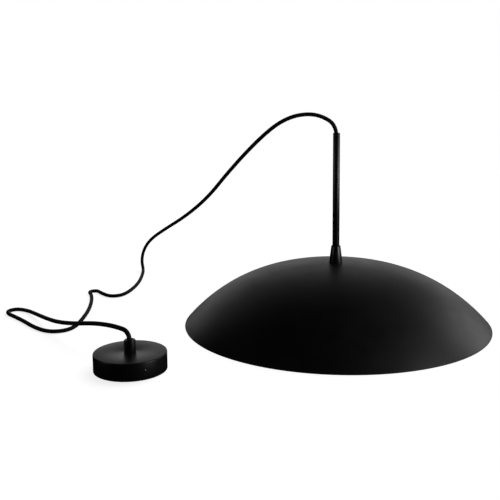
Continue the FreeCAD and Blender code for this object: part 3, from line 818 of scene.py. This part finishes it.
@dataclass
class Studio:
    """Camera, white floor and background, soft lights on the light, and a sky on the floor."""

    eye: tuple[float, float, float] = (-0.13780, -1.19606, 0.36106)
    pitch: float = 0.13319
    roll: float = -0.00894
    focal_length: float = 54.324
    sensor: float = 36.0
    drop: float = -0.10
    floor_size: float = 5.0
    glow: float = 0.84
    sky_azimuth: float = 150
    sky_tilt: float = 42
    sky_spread: float = 55
    sky_strength: float = 1.45
    floor_white: float = 0.55
    softboxes: list[Softbox] = field(default_factory=lambda: [
        Softbox("back_low", 180, 8, 2.4, 4.0, 0.7, 7.6),
        Softbox("back_middle", 180, 24, 2.4, 4.0, 0.7, 2.2),
        Softbox("back_high", 180, 42, 2.4, 4.0, 0.8, 1.5),
        Softbox("right_low", 61, 4, 1.75, 0.6, 0.5, 11.0),
        Softbox("right_high", 66, 34, 1.6, 0.6, 0.4, 1.8),
        Softbox("right_back", 115, 16, 1.8, 1.0, 1.0, 5.4),
        Softbox("left_low", -70, 10, 1.6, 0.6, 0.6, 1.3),
    ])

    def build(self) -> None:
        """Sets the whole studio up."""
        self.build_camera()
        floor = self.build_floor()
        self.build_background()
        self.build_sky(floor)
        for softbox in self.softboxes:
            softbox.build(floor)
        bpy.context.scene.view_settings.view_transform = "Standard"

    def build_camera(self) -> None:
        """Places the camera a little above the light, looking slightly down."""
        data = bpy.data.cameras.new("camera")
        data.sensor_width = self.sensor
        data.lens = self.focal_length
        data.shift_y = self.drop
        camera = bpy.data.objects.new("camera", data)
        level = Matrix.Rotation(pi / 2 - self.pitch, 4, "X")
        camera.matrix_world = Matrix.Translation(self.eye) @ level @ Matrix.Rotation(self.roll, 4, "Z")
        bpy.context.scene.collection.objects.link(camera)
        bpy.context.scene.camera = camera

    def build_floor(self) -> bpy.types.Object:
        """Lays the pale floor, which takes a faint shadow and lights nothing itself.

        Returns:
            The floor.
        """
        mesh = bmesh.new()
        bmesh.ops.create_grid(mesh, x_segments=1, y_segments=1, size=self.floor_size / 2)
        floor = object_of(mesh, "floor")
        recipe = Recipe("studio_floor")
        mottle = recipe.noise(recipe.place(), 0.4, 2)
        white = (self.floor_white,) * 3
        floor.data.materials.append(recipe.surface(
            Base_Color=recipe.blend(mottle, white, tuple(0.98 * part for part in white)),
            Roughness=0.9,
            Specular_IOR_Level=0.0,
            Emission_Color=(1.0, 1.0, 1.0),
            Emission_Strength=self.glow,
        ))
        floor.visible_diffuse = False
        floor.visible_glossy = False
        return floor

    def build_sky(self, floor: bpy.types.Object) -> None:
        """Lights the floor alone, evenly and softly, so that what stands on it casts a faint shadow."""
        data = bpy.data.lights.new("floor_sky", "SUN")
        data.energy = self.sky_strength
        data.angle = radians(self.sky_spread)
        lamp = bpy.data.objects.new("floor_sky", data)
        lamp.rotation_euler = (radians(self.sky_tilt), 0, radians(self.sky_azimuth))
        link_to_floor(lamp, floor, "INCLUDE")

    def build_background(self) -> None:
        """Makes the background white to the camera, and dark to everything else."""
        world = bpy.data.worlds.new("studio")
        world.use_nodes = True
        backdrop = world.node_tree.nodes["Background"]
        backdrop.inputs["Color"].default_value = (1, 1, 1, 1)
        backdrop.inputs["Strength"].default_value = 1.0
        world.cycles_visibility.diffuse = False
        world.cycles_visibility.glossy = False
        bpy.context.scene.world = world


# ---- cord --------------------------------------------------------------------------------------


@dataclass
class Cord:
    """The free cord, from the bush in the stem's top to the cord grip."""

    braid: Braid = Braid()
    radius: float = 3.2 * MM
    relief: float = 0.2 * MM
    sides: int = 32
    ring_pitch: float = 0.68 * MM
    route: tuple = (
        (0, 0, 298), (0, 0, 318.5), (-24, 5, 334), (-49, 8, 337), (-75, 14, 331), (-101, 24, 315.5),
        (-137, 46, 281), (-177, 81, 235), (-206, 121, 197), (-236, 165, 165.5), (-271, 222, 134.5),
        (-309, 290, 104.5), (-346, 353, 73), (-366, 387, 44), (-372, 394, 18), (-365, 371, 4),
        (-361, 325, 3.3), (-359, 266, 3.3), (-363, 214, 3.3), (-372, 173, 3.3), (-385, 158.5, 3.3),
        (-401, 161, 3.3), (-413, 175.5, 3.3), (-422, 188, 3.3), (-427, 196.8, 3.3), (-434.2, 198.2, 3.3),
        (-440, 194.2, 3.3), (-441.2, 187.4, 3.3), (-436, 175, 3.3), (-430, 154, 3.3), (-424, 123, 3.3),
        (-419.5, 90, 3.3), (-416.5, 50, 3.3), (-416.5, 2, 3.3), (-419, -32, 3.3), (-432, -52, 3.3),
        (-457, -54, 3.3), (-485, -29, 3.3), (-511, 5, 3.3), (-533, 30, 3.3), (-550, 48, 3.3),
        (-556, 65, 3.3), (-544, 78, 3.3), (-521, 65, 3.7), (-496, 30, 7), (-468, -17, 14),
        (-437, -64, 21.5), (-402, -104, 31), (-367, -142, 43), (-338, -174, 50), (-317, -197, 52.4),
        (-307, -206.6, 51.6), (-301.8, -211.8, 43.5), (-301.8, -211.8, 33),
    )

    def spline_points(self) -> list[Vector]:
        """Points along the route's smooth curve, in metres."""
        curve = bpy.data.curves.new("cord_route", "CURVE")
        curve.dimensions = "3D"
        curve.resolution_u = 24
        spline = curve.splines.new("NURBS")
        spline.points.add(len(self.route) - 1)
        for point, place in zip(spline.points, self.route):
            point.co = (*(Vector(place) * MM), 1)
        spline.order_u = 3
        spline.use_endpoint_u = True
        holder = bpy.data.objects.new("cord_route", curve)
        line = bpy.data.meshes.new_from_object(holder)
        points = [vert.co.copy() for vert in line.vertices]
        bpy.data.meshes.remove(line)
        bpy.data.curves.remove(curve)
        return points

    @staticmethod
    def even_stations(points: list[Vector], pitch: float) -> tuple[list[Vector], float]:
        """Stations an even distance apart along a line of points.

        Args:
            points: The line.
            pitch: About how far apart the stations are.

        Returns:
            The stations and the line's length.
        """
        reach = [0.0]
        for before, after in zip(points, points[1:]):
            reach.append(reach[-1] + (after - before).length)
        count = ceil(reach[-1] / pitch)
        stations = []
        index = 0
        for number in range(count + 1):
            wanted = reach[-1] * number / count
            while index < len(points) - 2 and reach[index + 1] < wanted:
                index += 1
            share = (wanted - reach[index]) / (reach[index + 1] - reach[index])
            stations.append(points[index].lerp(points[index + 1], min(share, 1)))
        return stations, reach[-1]

    @staticmethod
    def carried_frames(stations: list[Vector]) -> list[tuple[Vector, Vector]]:
        """Two directions across the line at each station, carried along it without twist."""
        side = Vector((0, 1, 0))
        frames = []
        for index in range(len(stations)):
            before, after = stations[max(index - 1, 0)], stations[min(index + 1, len(stations) - 1)]
            forward = (after - before).normalized()
            side = (side - forward * side.dot(forward)).normalized()
            frames.append((side, forward.cross(side)))
        return frames

    def build(self) -> bpy.types.Object:
        """Wraps a grid round the route, its yarns in relief.

        Returns:
            The cord.
        """
        points = self.spline_points()
        stations, length = self.even_stations(points, self.ring_pitch)
        frames = self.carried_frames(stations)
        rings = len(stations) - 1
        mesh = bmesh.new()
        mesh.loops.layers.uv.new("UVMap")
        bmesh.ops.create_grid(mesh, x_segments=rings, y_segments=self.sides, size=0.5, calc_uvs=True)
        for vert in mesh.verts:
            along, around = round((vert.co.x + 0.5) * rings), vert.co.y + 0.5
            side, other = frames[along]
            raised = self.braid.relief(length * along / rings, around)
            reach = self.radius + self.relief * (raised - 0.5)
            angle = tau * around
            vert.co = stations[along] + side * (reach * cos(angle)) + other * (reach * sin(angle))
        bmesh.ops.remove_doubles(mesh, verts=mesh.verts, dist=MERGE)
        bmesh.ops.holes_fill(mesh, edges=mesh.edges, sides=self.sides)
        bmesh.ops.recalc_face_normals(mesh, faces=mesh.faces)
        material = self.braid.material(length, self.radius)
        cord = finished(mesh, "braided_cord", material, Body.LIGHT, ("pendant_cord",), 80)
        exit_level = levels("stem_bush")[1]
        length - (exit_level - self.route[0][2] * MM)
        return cord


# ---- shade and stem ----------------------------------------------------------------------------


@dataclass
class Shade(Assembly):
    """Spun dome: a wide crown arc that runs into a tighter shoulder arc."""

    wall: float = 1.5 * MM
    height: float = 97.5 * MM
    crown_radius: float = 490 * MM
    crown_reach: float = 85 * MM
    hole_radius: float = 5.1 * MM
    segments: int = 224

    def build(self) -> None:
        """Turns the dome and rounds its rim."""
        low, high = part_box("shade_dome")
        rim, seat = high[0], high[2]
        crown_level = self.height - self.crown_radius
        lean = asin(self.crown_reach / self.crown_radius)
        outward = Vector((sin(lean), cos(lean)))
        chord = Vector((rim, 0)) - Vector((0, crown_level)) - outward * self.crown_radius
        shoulder = -chord.dot(chord) / (2 * chord.dot(outward))
        centre = Vector((0, crown_level)) + outward * (self.crown_radius - shoulder)

        def seat_lean(depth: float) -> float:
            """The crown arc's angle at the seat, at a depth below the face."""
            return atan2(self.seat_edge(seat, depth, crown_level), seat - depth - crown_level)

        def rim_lean(depth: float) -> float:
            """The shoulder arc's angle at the rim's plane, at a depth below the face."""
            return pi / 2 - asin(-centre.y / (shoulder - depth))

        crown_centre = (0, crown_level)
        outline = Outline(self.hole_radius, seat).to((self.seat_edge(seat, 0, crown_level), seat))
        outline.arc(crown_centre, degrees(lean - seat_lean(0)), 14)
        outline.arc(tuple(centre), degrees(rim_lean(0) - lean), 44)
        inner_rim = centre.x + (shoulder - self.wall) * sin(rim_lean(self.wall))
        outline.to((inner_rim, 0))
        outline.arc(tuple(centre), degrees(lean - rim_lean(self.wall)), 44)
        outline.arc(crown_centre, degrees(seat_lean(self.wall) - lean), 14)
        outline.to((self.hole_radius, seat - self.wall))
        mesh = rounded(outline.turned(self.segments), 0.45 * MM, 3)
        self.dress(mesh, "shade", Slot.SHADE_COAT, "shade_dome")

    def seat_edge(self, seat: float, depth: float, crown_level: float) -> float:
        """The radius at which the flat seat meets the crown arc, at a depth below the face."""
        return sqrt((self.crown_radius - depth) ** 2 - (seat - depth - crown_level) ** 2)


@dataclass
class Stem(Assembly):
    """Stem tube, the bush in its top, the collar at its foot and the hardware under the crown."""

    bore: float = 4 * MM
    radius: float = 5.6 * MM
    thread_radius: float = 5 * MM
    bush_bore: float = 3.5 * MM
    bush_radius: float = 5.2 * MM
    bush_flange: float = 1 * MM
    collar_foot: float = 10.9 * MM
    collar_top: float = 7.4 * MM
    collar_edge: float = 0.6 * MM
    gap: float = 0.06 * MM
    thread_top: float = 96 * MM
    thread_pitch: float = 1 * MM
    thread_depth: float = 0.3 * MM
    nut_width: float = 14 * MM
    washer_radius: float = 10.8 * MM

    def build(self) -> None:
        """Builds and dresses every piece of the stem."""
        satin, zinc = Slot.SATIN, Slot.ZINC
        hole = self.thread_radius + self.gap
        foot, top = levels("stem_tube")
        shoulder = levels("collar_cone")[1]
        tube = Outline(self.bore, top).to(
            (self.radius, top), (self.radius, shoulder), (self.thread_radius, shoulder),
            (self.thread_radius, self.thread_top),
        )
        tube.thread(foot, self.thread_pitch, self.thread_depth).to((self.bore, foot))
        self.dress(rounded(tube.turned(56), 0.25 * MM, 2, 60), "stem", satin, "stem_tube")

        foot, top = levels("stem_bush")
        seat = top - self.bush_flange
        sleeve = self.bore - self.gap
        bush = Outline(self.bush_bore, foot).to(
            (sleeve, foot), (sleeve, seat), (self.bush_radius, seat), (self.bush_radius, top),
            (self.bush_bore, top),
        )
        self.dress(rounded(bush.turned(48), 0.3 * MM, 3), "bush", Slot.NYLON, "stem_bush")

        foot, top = levels("collar_cone")
        collar = Outline(hole, foot).to(
            (self.collar_foot, foot), (self.collar_top, top - self.collar_edge),
            (self.collar_top - self.collar_edge, top), (hole, top),
        )
        self.dress(rounded(collar.turned(80), 0.18 * MM), "collar", satin, "collar_cone")

        foot, top = levels("seat_washer")
        washer = Outline(hole, foot).to((self.washer_radius, foot), (self.washer_radius, top), (hole, top))
        self.dress(rounded(washer.turned(64), 0.25 * MM), "washer", zinc, "seat_washer")
        for name, node in (("crown_lock_nut", "crown_nut"), ("lampholder_nut", "holder_nut")):
            self.dress(hexagon_nut(self.nut_width, hole, *levels(node)), name, zinc, node)


# ---- lampholder --------------------------------------------------------------------------------


@dataclass
class Lampholder(Assembly):
    """Cap, ribbed skirt, ceramic insert, threaded brass shell and terminal screws."""

    hole: float = 5.06 * MM
    cap_ceiling: float = 81.4 * MM
    cap_shoulder: float = 74 * MM
    hub_foot: float = 86 * MM
    hub_radius: float = 8.5 * MM
    cap_radius: float = 19.5 * MM
    cap_bore: float = 17.3 * MM
    ceiling_radius: float = 9.5 * MM
    gap: float = 0.06 * MM
    skirt_radius: float = 21.2 * MM
    skirt_foot_radius: float = 19.4 * MM
    mouth_radius: float = 14.6 * MM
    mouth_lip: float = 2 * MM
    throat: float = 15.6 * MM
    insert_level: float = 60 * MM
    neck_radius: float = 15.4 * MM
    recess_radius: float = 10.5 * MM
    recess_level: float = 58.4 * MM
    insert_radius: float = 17 * MM
    crest: float = 13.0 * MM
    root: float = 13.7 * MM
    thread_pitch: float = 3.63 * MM
    sheet: float = 0.3 * MM
    ribs: int = 36

    def build(self) -> None:
        """Builds and dresses every piece of the lampholder."""
        self.build_cap()
        self.build_skirt()
        self.build_insert()
        self.build_screw_shell()
        self.build_terminal_screws()

    def build_cap(self) -> None:
        """Turns the cap, with its hub."""
        foot, top = levels("holder_cap")
        cap = Outline(self.hole, self.cap_ceiling).to(
            (self.ceiling_radius, self.cap_ceiling), (self.cap_bore, self.cap_shoulder),
            (self.cap_bore, foot), (self.cap_radius, foot), (self.cap_radius, self.cap_shoulder),
            (self.hub_radius + 2 * MM, self.hub_foot), (self.hub_radius, self.hub_foot + 2 * MM),
            (self.hub_radius, top), (self.hole, top),
        )
        self.dress(rounded(cap.turned(72), 0.5 * MM, 3, 15), "lampholder_cap", Slot.PHENOLIC, "holder_cap")

    def build_skirt(self) -> None:
        """Turns the skirt and sinks a flute between each two ribs."""
        foot, top = levels("holder_skirt")
        lap = self.cap_radius + self.gap
        throat_top = self.insert_level - self.gap
        band_foot, band_top = foot + 4 * MM, self.insert_level - 3 * MM
        slope = (self.skirt_radius - self.skirt_foot_radius) / (band_top - foot)
        skirt = Outline(lap, top).to(
            (self.skirt_radius, top), (self.skirt_radius, band_top),
            (self.skirt_foot_radius + slope * (band_foot - foot), band_foot),
            (self.skirt_foot_radius, foot + 1 * MM), (self.skirt_foot_radius - 1 * MM, foot),
            (self.mouth_radius, foot), (self.mouth_radius, foot + self.mouth_lip),
            (self.throat, foot + self.mouth_lip), (self.throat, throat_top), (lap, throat_top),
        )
        mesh = skirt.turned(2 * self.ribs)
        flutes = []
        for face in mesh.faces:
            place = face.calc_center_median()
            number = floor(atan2(place.y, place.x) / (pi / self.ribs))
            outside = hypot(place.x, place.y) > self.throat + 2 * MM
            if band_foot < place.z < band_top and outside and number % 2:
                flutes.append(face)
        bmesh.ops.inset_individual(mesh, faces=flutes, thickness=0.3 * MM, depth=-0.5 * MM)
        self.dress(rounded(mesh, 0.2 * MM, 2, 40), "lampholder_skirt", Slot.PHENOLIC, "holder_skirt")

    def build_insert(self) -> None:
        """Turns the ceramic insert, with the recess for the contact."""
        foot, top = levels("holder_insert")
        insert = Outline(0, self.recess_level).to(
            (self.recess_radius, self.recess_level), (self.recess_radius, foot), (self.neck_radius, foot),
            (self.neck_radius, self.insert_level), (self.insert_radius, self.insert_level),
            (self.insert_radius, top), (0, top),
        )
        mesh = rounded(insert.turned(64, closed=False), 0.35 * MM, 3)
        self.dress(mesh, "ceramic_insert", Slot.CERAMIC, "holder_insert")

    def build_screw_shell(self) -> None:
        """Rolls the lamp's thread: one wave of the wall, turned with a rise of a pitch a turn."""
        foot, top = levels("screw_shell")
        steps, turn_steps = 10, 64
        turns = ceil((top - foot) / self.thread_pitch) + 1
        mesh = bmesh.new()
        start = foot - self.thread_pitch * 1.5
        half = (self.root - self.crest) / 2
        last = mesh.verts.new((self.crest, 0, start))
        for step in range(1, steps + 1):
            last = bmesh.ops.extrude_vert_indiv(mesh, verts=[last])["verts"][0]
            swing = half * (1 - cos(tau * step / steps))
            last.co = (self.crest + swing, 0, start + self.thread_pitch * step / steps)
        bmesh.ops.spin(
            mesh, geom=mesh.verts[:] + mesh.edges[:], cent=(0, 0, 0), axis=(0, 0, 1), angle=tau * turns,
            steps=turn_steps * turns, dvec=(0, 0, self.thread_pitch / turn_steps), use_merge=False,
            use_duplicate=False,
        )
        bmesh.ops.remove_doubles(mesh, verts=mesh.verts, dist=0.02 * MM)
        for level, way in ((foot, -1), (top, 1)):
            bmesh.ops.bisect_plane(
                mesh, geom=mesh.verts[:] + mesh.edges[:] + mesh.faces[:], plane_co=(0, 0, level),
                plane_no=(0, 0, way), clear_outer=True,
            )
        bmesh.ops.recalc_face_normals(mesh, faces=mesh.faces)
        bmesh.ops.solidify(mesh, geom=mesh.faces[:], thickness=self.sheet)
        bmesh.ops.recalc_face_normals(mesh, faces=mesh.faces)
        self.dress(mesh, "threaded_shell", Slot.BRASS, "screw_shell")

    def build_terminal_screws(self) -> None:
        """Turns the two brass terminal screws, each with a slot."""
        low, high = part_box("terminal_screws")
        height = high[2] - low[2]
        radius = (high[1] - low[1]) / 2
        screws = []
        for across in (high[0] - radius, low[0] + radius):
            head = Outline(0, 0).to((radius, 0), (radius, height), (0, height))
            mesh = rounded(head.turned(36, closed=False), 0.3 * MM)
            slot = block((4 * radius, 0.7 * MM, height), Matrix.Translation((0, 0, height)))
            place = Matrix.Translation((across, 0, low[2]))
            screws.append(moved(carved(mesh, [slot]), place))
        self.dress(joined(screws), "lampholder_screws", Slot.BRASS, "terminal_screws")


# ---- canopy ------------------------------------------------------------------------------------


@dataclass
class Canopy(Assembly):
    """Ceiling cup with its side screws, cord grip, washer, nut and earth screw."""

    wall: float = 1.2 * MM
    edge: float = 1.4 * MM
    entry: float = 4.96 * MM
    side_hole: float = 2.25 * MM
    grip_radius: float = 7.9 * MM
    grip_edge: float = 1 * MM
    grip_bore: float = 3.5 * MM
    grip_mouth: float = 1.1 * MM
    spigot: float = 4.9 * MM
    lock_radius: float = 1.5 * MM
    lock_length: float = 4.9 * MM
    screw_radius: float = 1.95 * MM
    head_radius: float = 3.9 * MM
    head_height: float = 2.4 * MM
    screw_length: float = 8 * MM
    slot_width: float = 0.9 * MM
    slot_depth: float = 1.1 * MM
    nut_width: float = 14 * MM
    washer_radius: float = 9 * MM
    nut_hole: float = 5.06 * MM
    earth_radius: float = 3.4 * MM
    earth_shank: float = 1.95 * MM

    def __post_init__(self) -> None:
        """Finds the canopy's axis, and the turn of its side screws."""
        self.axis = middle("canopy_cup")
        self.axis.z = 0
        self.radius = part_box("canopy_cup")[1][0] - self.axis.x
        outward = middle("side_screw_front") - self.axis
        self.turn = atan2(outward.y, outward.x)
        self.screw_level = middle("side_screw_front").z

    def sideways(self, turn: float, level: float) -> Matrix:
        """A place on the canopy's axis, with Z turned outwards along a direction."""
        place = Matrix.Translation(self.axis + Vector((0, 0, level)))
        return place @ Matrix.Rotation(turn, 4, "Z") @ Matrix.Rotation(pi / 2, 4, "Y")

    def build(self) -> None:
        """Builds and dresses every piece of the canopy."""
        self.build_cup()
        self.build_grip()
        self.build_side_screw("front_screw", Body.FRONT_SCREW, self.turn)
        self.build_side_screw("rear_screw", Body.REAR_SCREW, self.turn + pi)
        self.build_hardware()

    def build_cup(self) -> None:
        """Turns the cup, rounds its top edge and drills its side holes."""
        top = levels("canopy_cup")[1]
        inside = self.radius - self.wall
        cup = Outline(self.entry, top).to((self.radius - self.edge, top))
        cup.arc((self.radius - self.edge, top - self.edge), 90, 6)
        cup.to((self.radius, 0), (inside, 0), (inside, top - self.wall), (self.entry, top - self.wall))
        mesh = moved(rounded(cup.turned(144), 0.25 * MM, 2, 40), Matrix.Translation(self.axis))
        drill = rod(self.side_hole, 3 * self.radius, self.sideways(self.turn, self.screw_level))
        self.dress(carved(mesh, [drill]), "canopy", Slot.CANOPY_COAT, "canopy_cup")

    def build_grip(self) -> None:
        """Turns the cord grip and its lock screw."""
        foot, top = levels("grip_body")
        shoulder = levels("canopy_cup")[1]
        grip = Outline(self.grip_bore, foot).to(
            (self.spigot, foot), (self.spigot, shoulder), (self.grip_radius, shoulder),
            (self.grip_radius, top - self.grip_edge), (self.grip_radius - self.grip_edge, top),
            (self.grip_bore + self.grip_mouth, top), (self.grip_bore, top - 2 * self.grip_mouth),
        )
        mesh = moved(rounded(grip.turned(72), 0.2 * MM), Matrix.Translation(self.axis))
        lock = middle("grip_lock_screw")
        lock_turn = atan2(lock.y - self.axis.y, lock.x - self.axis.x)
        start = Matrix.Translation((0, 0, self.grip_radius))
        drill = rod(self.lock_radius, 2 * self.grip_radius, self.sideways(lock_turn, lock.z) @ start, 24)
        self.dress(carved(mesh, [drill]), "cord_grip", Slot.SATIN, "grip_body")

        inner = (lock - self.axis).xy.length - self.lock_length / 2
        radius = self.lock_radius - 0.05 * MM
        screw = Outline(0, inner).to((radius, inner), (radius, inner + self.lock_length))
        screw.to((0, inner + self.lock_length))
        slot = block(
            (4 * radius, 0.5 * MM, 1.2 * MM), Matrix.Translation((0, 0, inner + self.lock_length))
        )
        mesh = carved(rounded(screw.turned(28, closed=False), 0.2 * MM), [slot])
        mesh = moved(mesh, self.sideways(lock_turn, lock.z))
        self.dress(mesh, "lock_screw", Slot.NYLON, "grip_lock_screw", Body.LOCK_SCREW)

    def build_side_screw(self, name: str, body: Body, turn: float) -> None:
        """Turns a domed side screw with its thread, and cuts its slot."""
        node = body.value
        reach = (self.screw_end(node, turn).xy - self.axis.xy).length
        head = reach - self.head_height
        ball = (self.head_radius**2 + self.head_height**2) / (2 * self.head_height)
        screw = Outline(0, reach).arc((0, reach - ball), degrees(asin(self.head_radius / ball)), 10)
        screw.to((self.screw_radius, head)).thread(head - self.screw_length, 0.7 * MM, 0.25 * MM)
        screw.to((0, head - self.screw_length))
        mesh = rounded(screw.turned(48, closed=False), 0.15 * MM, 2, 62)
        slot = block(
            (3 * self.head_radius, self.slot_width, 2 * self.slot_depth), Matrix.Translation((0, 0, reach))
        )
        mesh = moved(carved(mesh, [slot]), self.sideways(turn, self.screw_level))
        self.dress(mesh, name, Slot.SCREW, node, body)

    def screw_end(self, node: str, turn: float) -> Vector:
        """The outer end of a side screw, found from its node's box."""
        low, high = (Vector(corner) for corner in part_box(node))
        along = Vector((cos(turn), sin(turn), 0))
        far = high if along.x > 0 else low
        shift = abs(along.y) * self.head_radius
        return self.axis + along * ((abs(far.x - self.axis.x) - shift) / abs(along.x))

    def build_hardware(self) -> None:
        """Makes the washer and nut under the cup, and the bracket's earth screw."""
        zinc = Slot.ZINC
        here = Matrix.Translation(self.axis)
        foot, top = levels("grip_washer")
        washer = Outline(self.nut_hole, foot)
        washer.to((self.washer_radius, foot), (self.washer_radius, top), (self.nut_hole, top))
        self.dress(moved(rounded(washer.turned(56), 0.2 * MM), here), "washer_inside", zinc, "grip_washer")
        nut = hexagon_nut(self.nut_width, self.nut_hole, *levels("grip_nut"))
        self.dress(moved(nut, here), "nut_inside", zinc, "grip_nut")
        foot, top = levels("earth_screw")
        under = levels("ceiling_bracket")[0] + 2 * MM
        place = middle("earth_screw")
        screw = Outline(0, foot).to((self.earth_shank, foot), (self.earth_shank, under))
        screw.to((self.earth_radius, under), (self.earth_radius, top), (0, top))
        mesh = rounded(screw.turned(40, closed=False), 0.3 * MM, 3)
        turn = Matrix.Translation((place.x, place.y, 0))
        slot = block((4 * self.earth_radius, 0.9 * MM, 1.6 * MM), Matrix.Translation((0, 0, top)))
        self.dress(moved(carved(mesh, [slot]), turn), "bracket_earth_screw", Slot.BRASS, "earth_screw")


# ---- pieces kept from the frame ----------------------------------------------------------------


@dataclass
class KeptNodes:
    """Nodes of the frame that keep their own mesh and only get a finish."""

    wardrobe: Wardrobe
    finishes: dict[str, Slot] = field(default_factory=lambda: {
        "earth_tag": Slot.BRASS,
        "centre_contact": Slot.BRASS,
        "side_contact": Slot.BRASS,
        "live_lead": Slot.BROWN,
        "neutral_lead": Slot.BLUE,
        "earth_lead": Slot.EARTH,
        "cord_in_stem": Slot.TEXTILE,
        "cord_in_grip": Slot.TEXTILE,
        "ceiling_bracket": Slot.ZINC,
        "terminal_block": Slot.POLYAMIDE,
        "block_screws": Slot.ZINC,
        "canopy_live_lead": Slot.BROWN,
        "canopy_neutral_lead": Slot.BLUE,
        "canopy_earth_lead": Slot.EARTH,
    })

    def dress(self) -> None:
        """Gives each node its finish."""
        for name, slot in self.finishes.items():
            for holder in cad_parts[name].material_slots:
                holder.material = self.wardrobe.of(slot)
            log.info("%s: kept, dressed in %s", name, slot.value)


def main() -> None:
    """Builds the studio and the light, in order."""
    logging.basicConfig(level=logging.INFO, format="%(message)s")
    Studio().build()
    wardrobe = Wardrobe()
    Cord().build()
    Shade(wardrobe).build()
    Stem(wardrobe).build()
    Lampholder(wardrobe).build()
    Canopy(wardrobe).build()
    KeptNodes(wardrobe).dress()


if __name__ == "__main__":
    main()
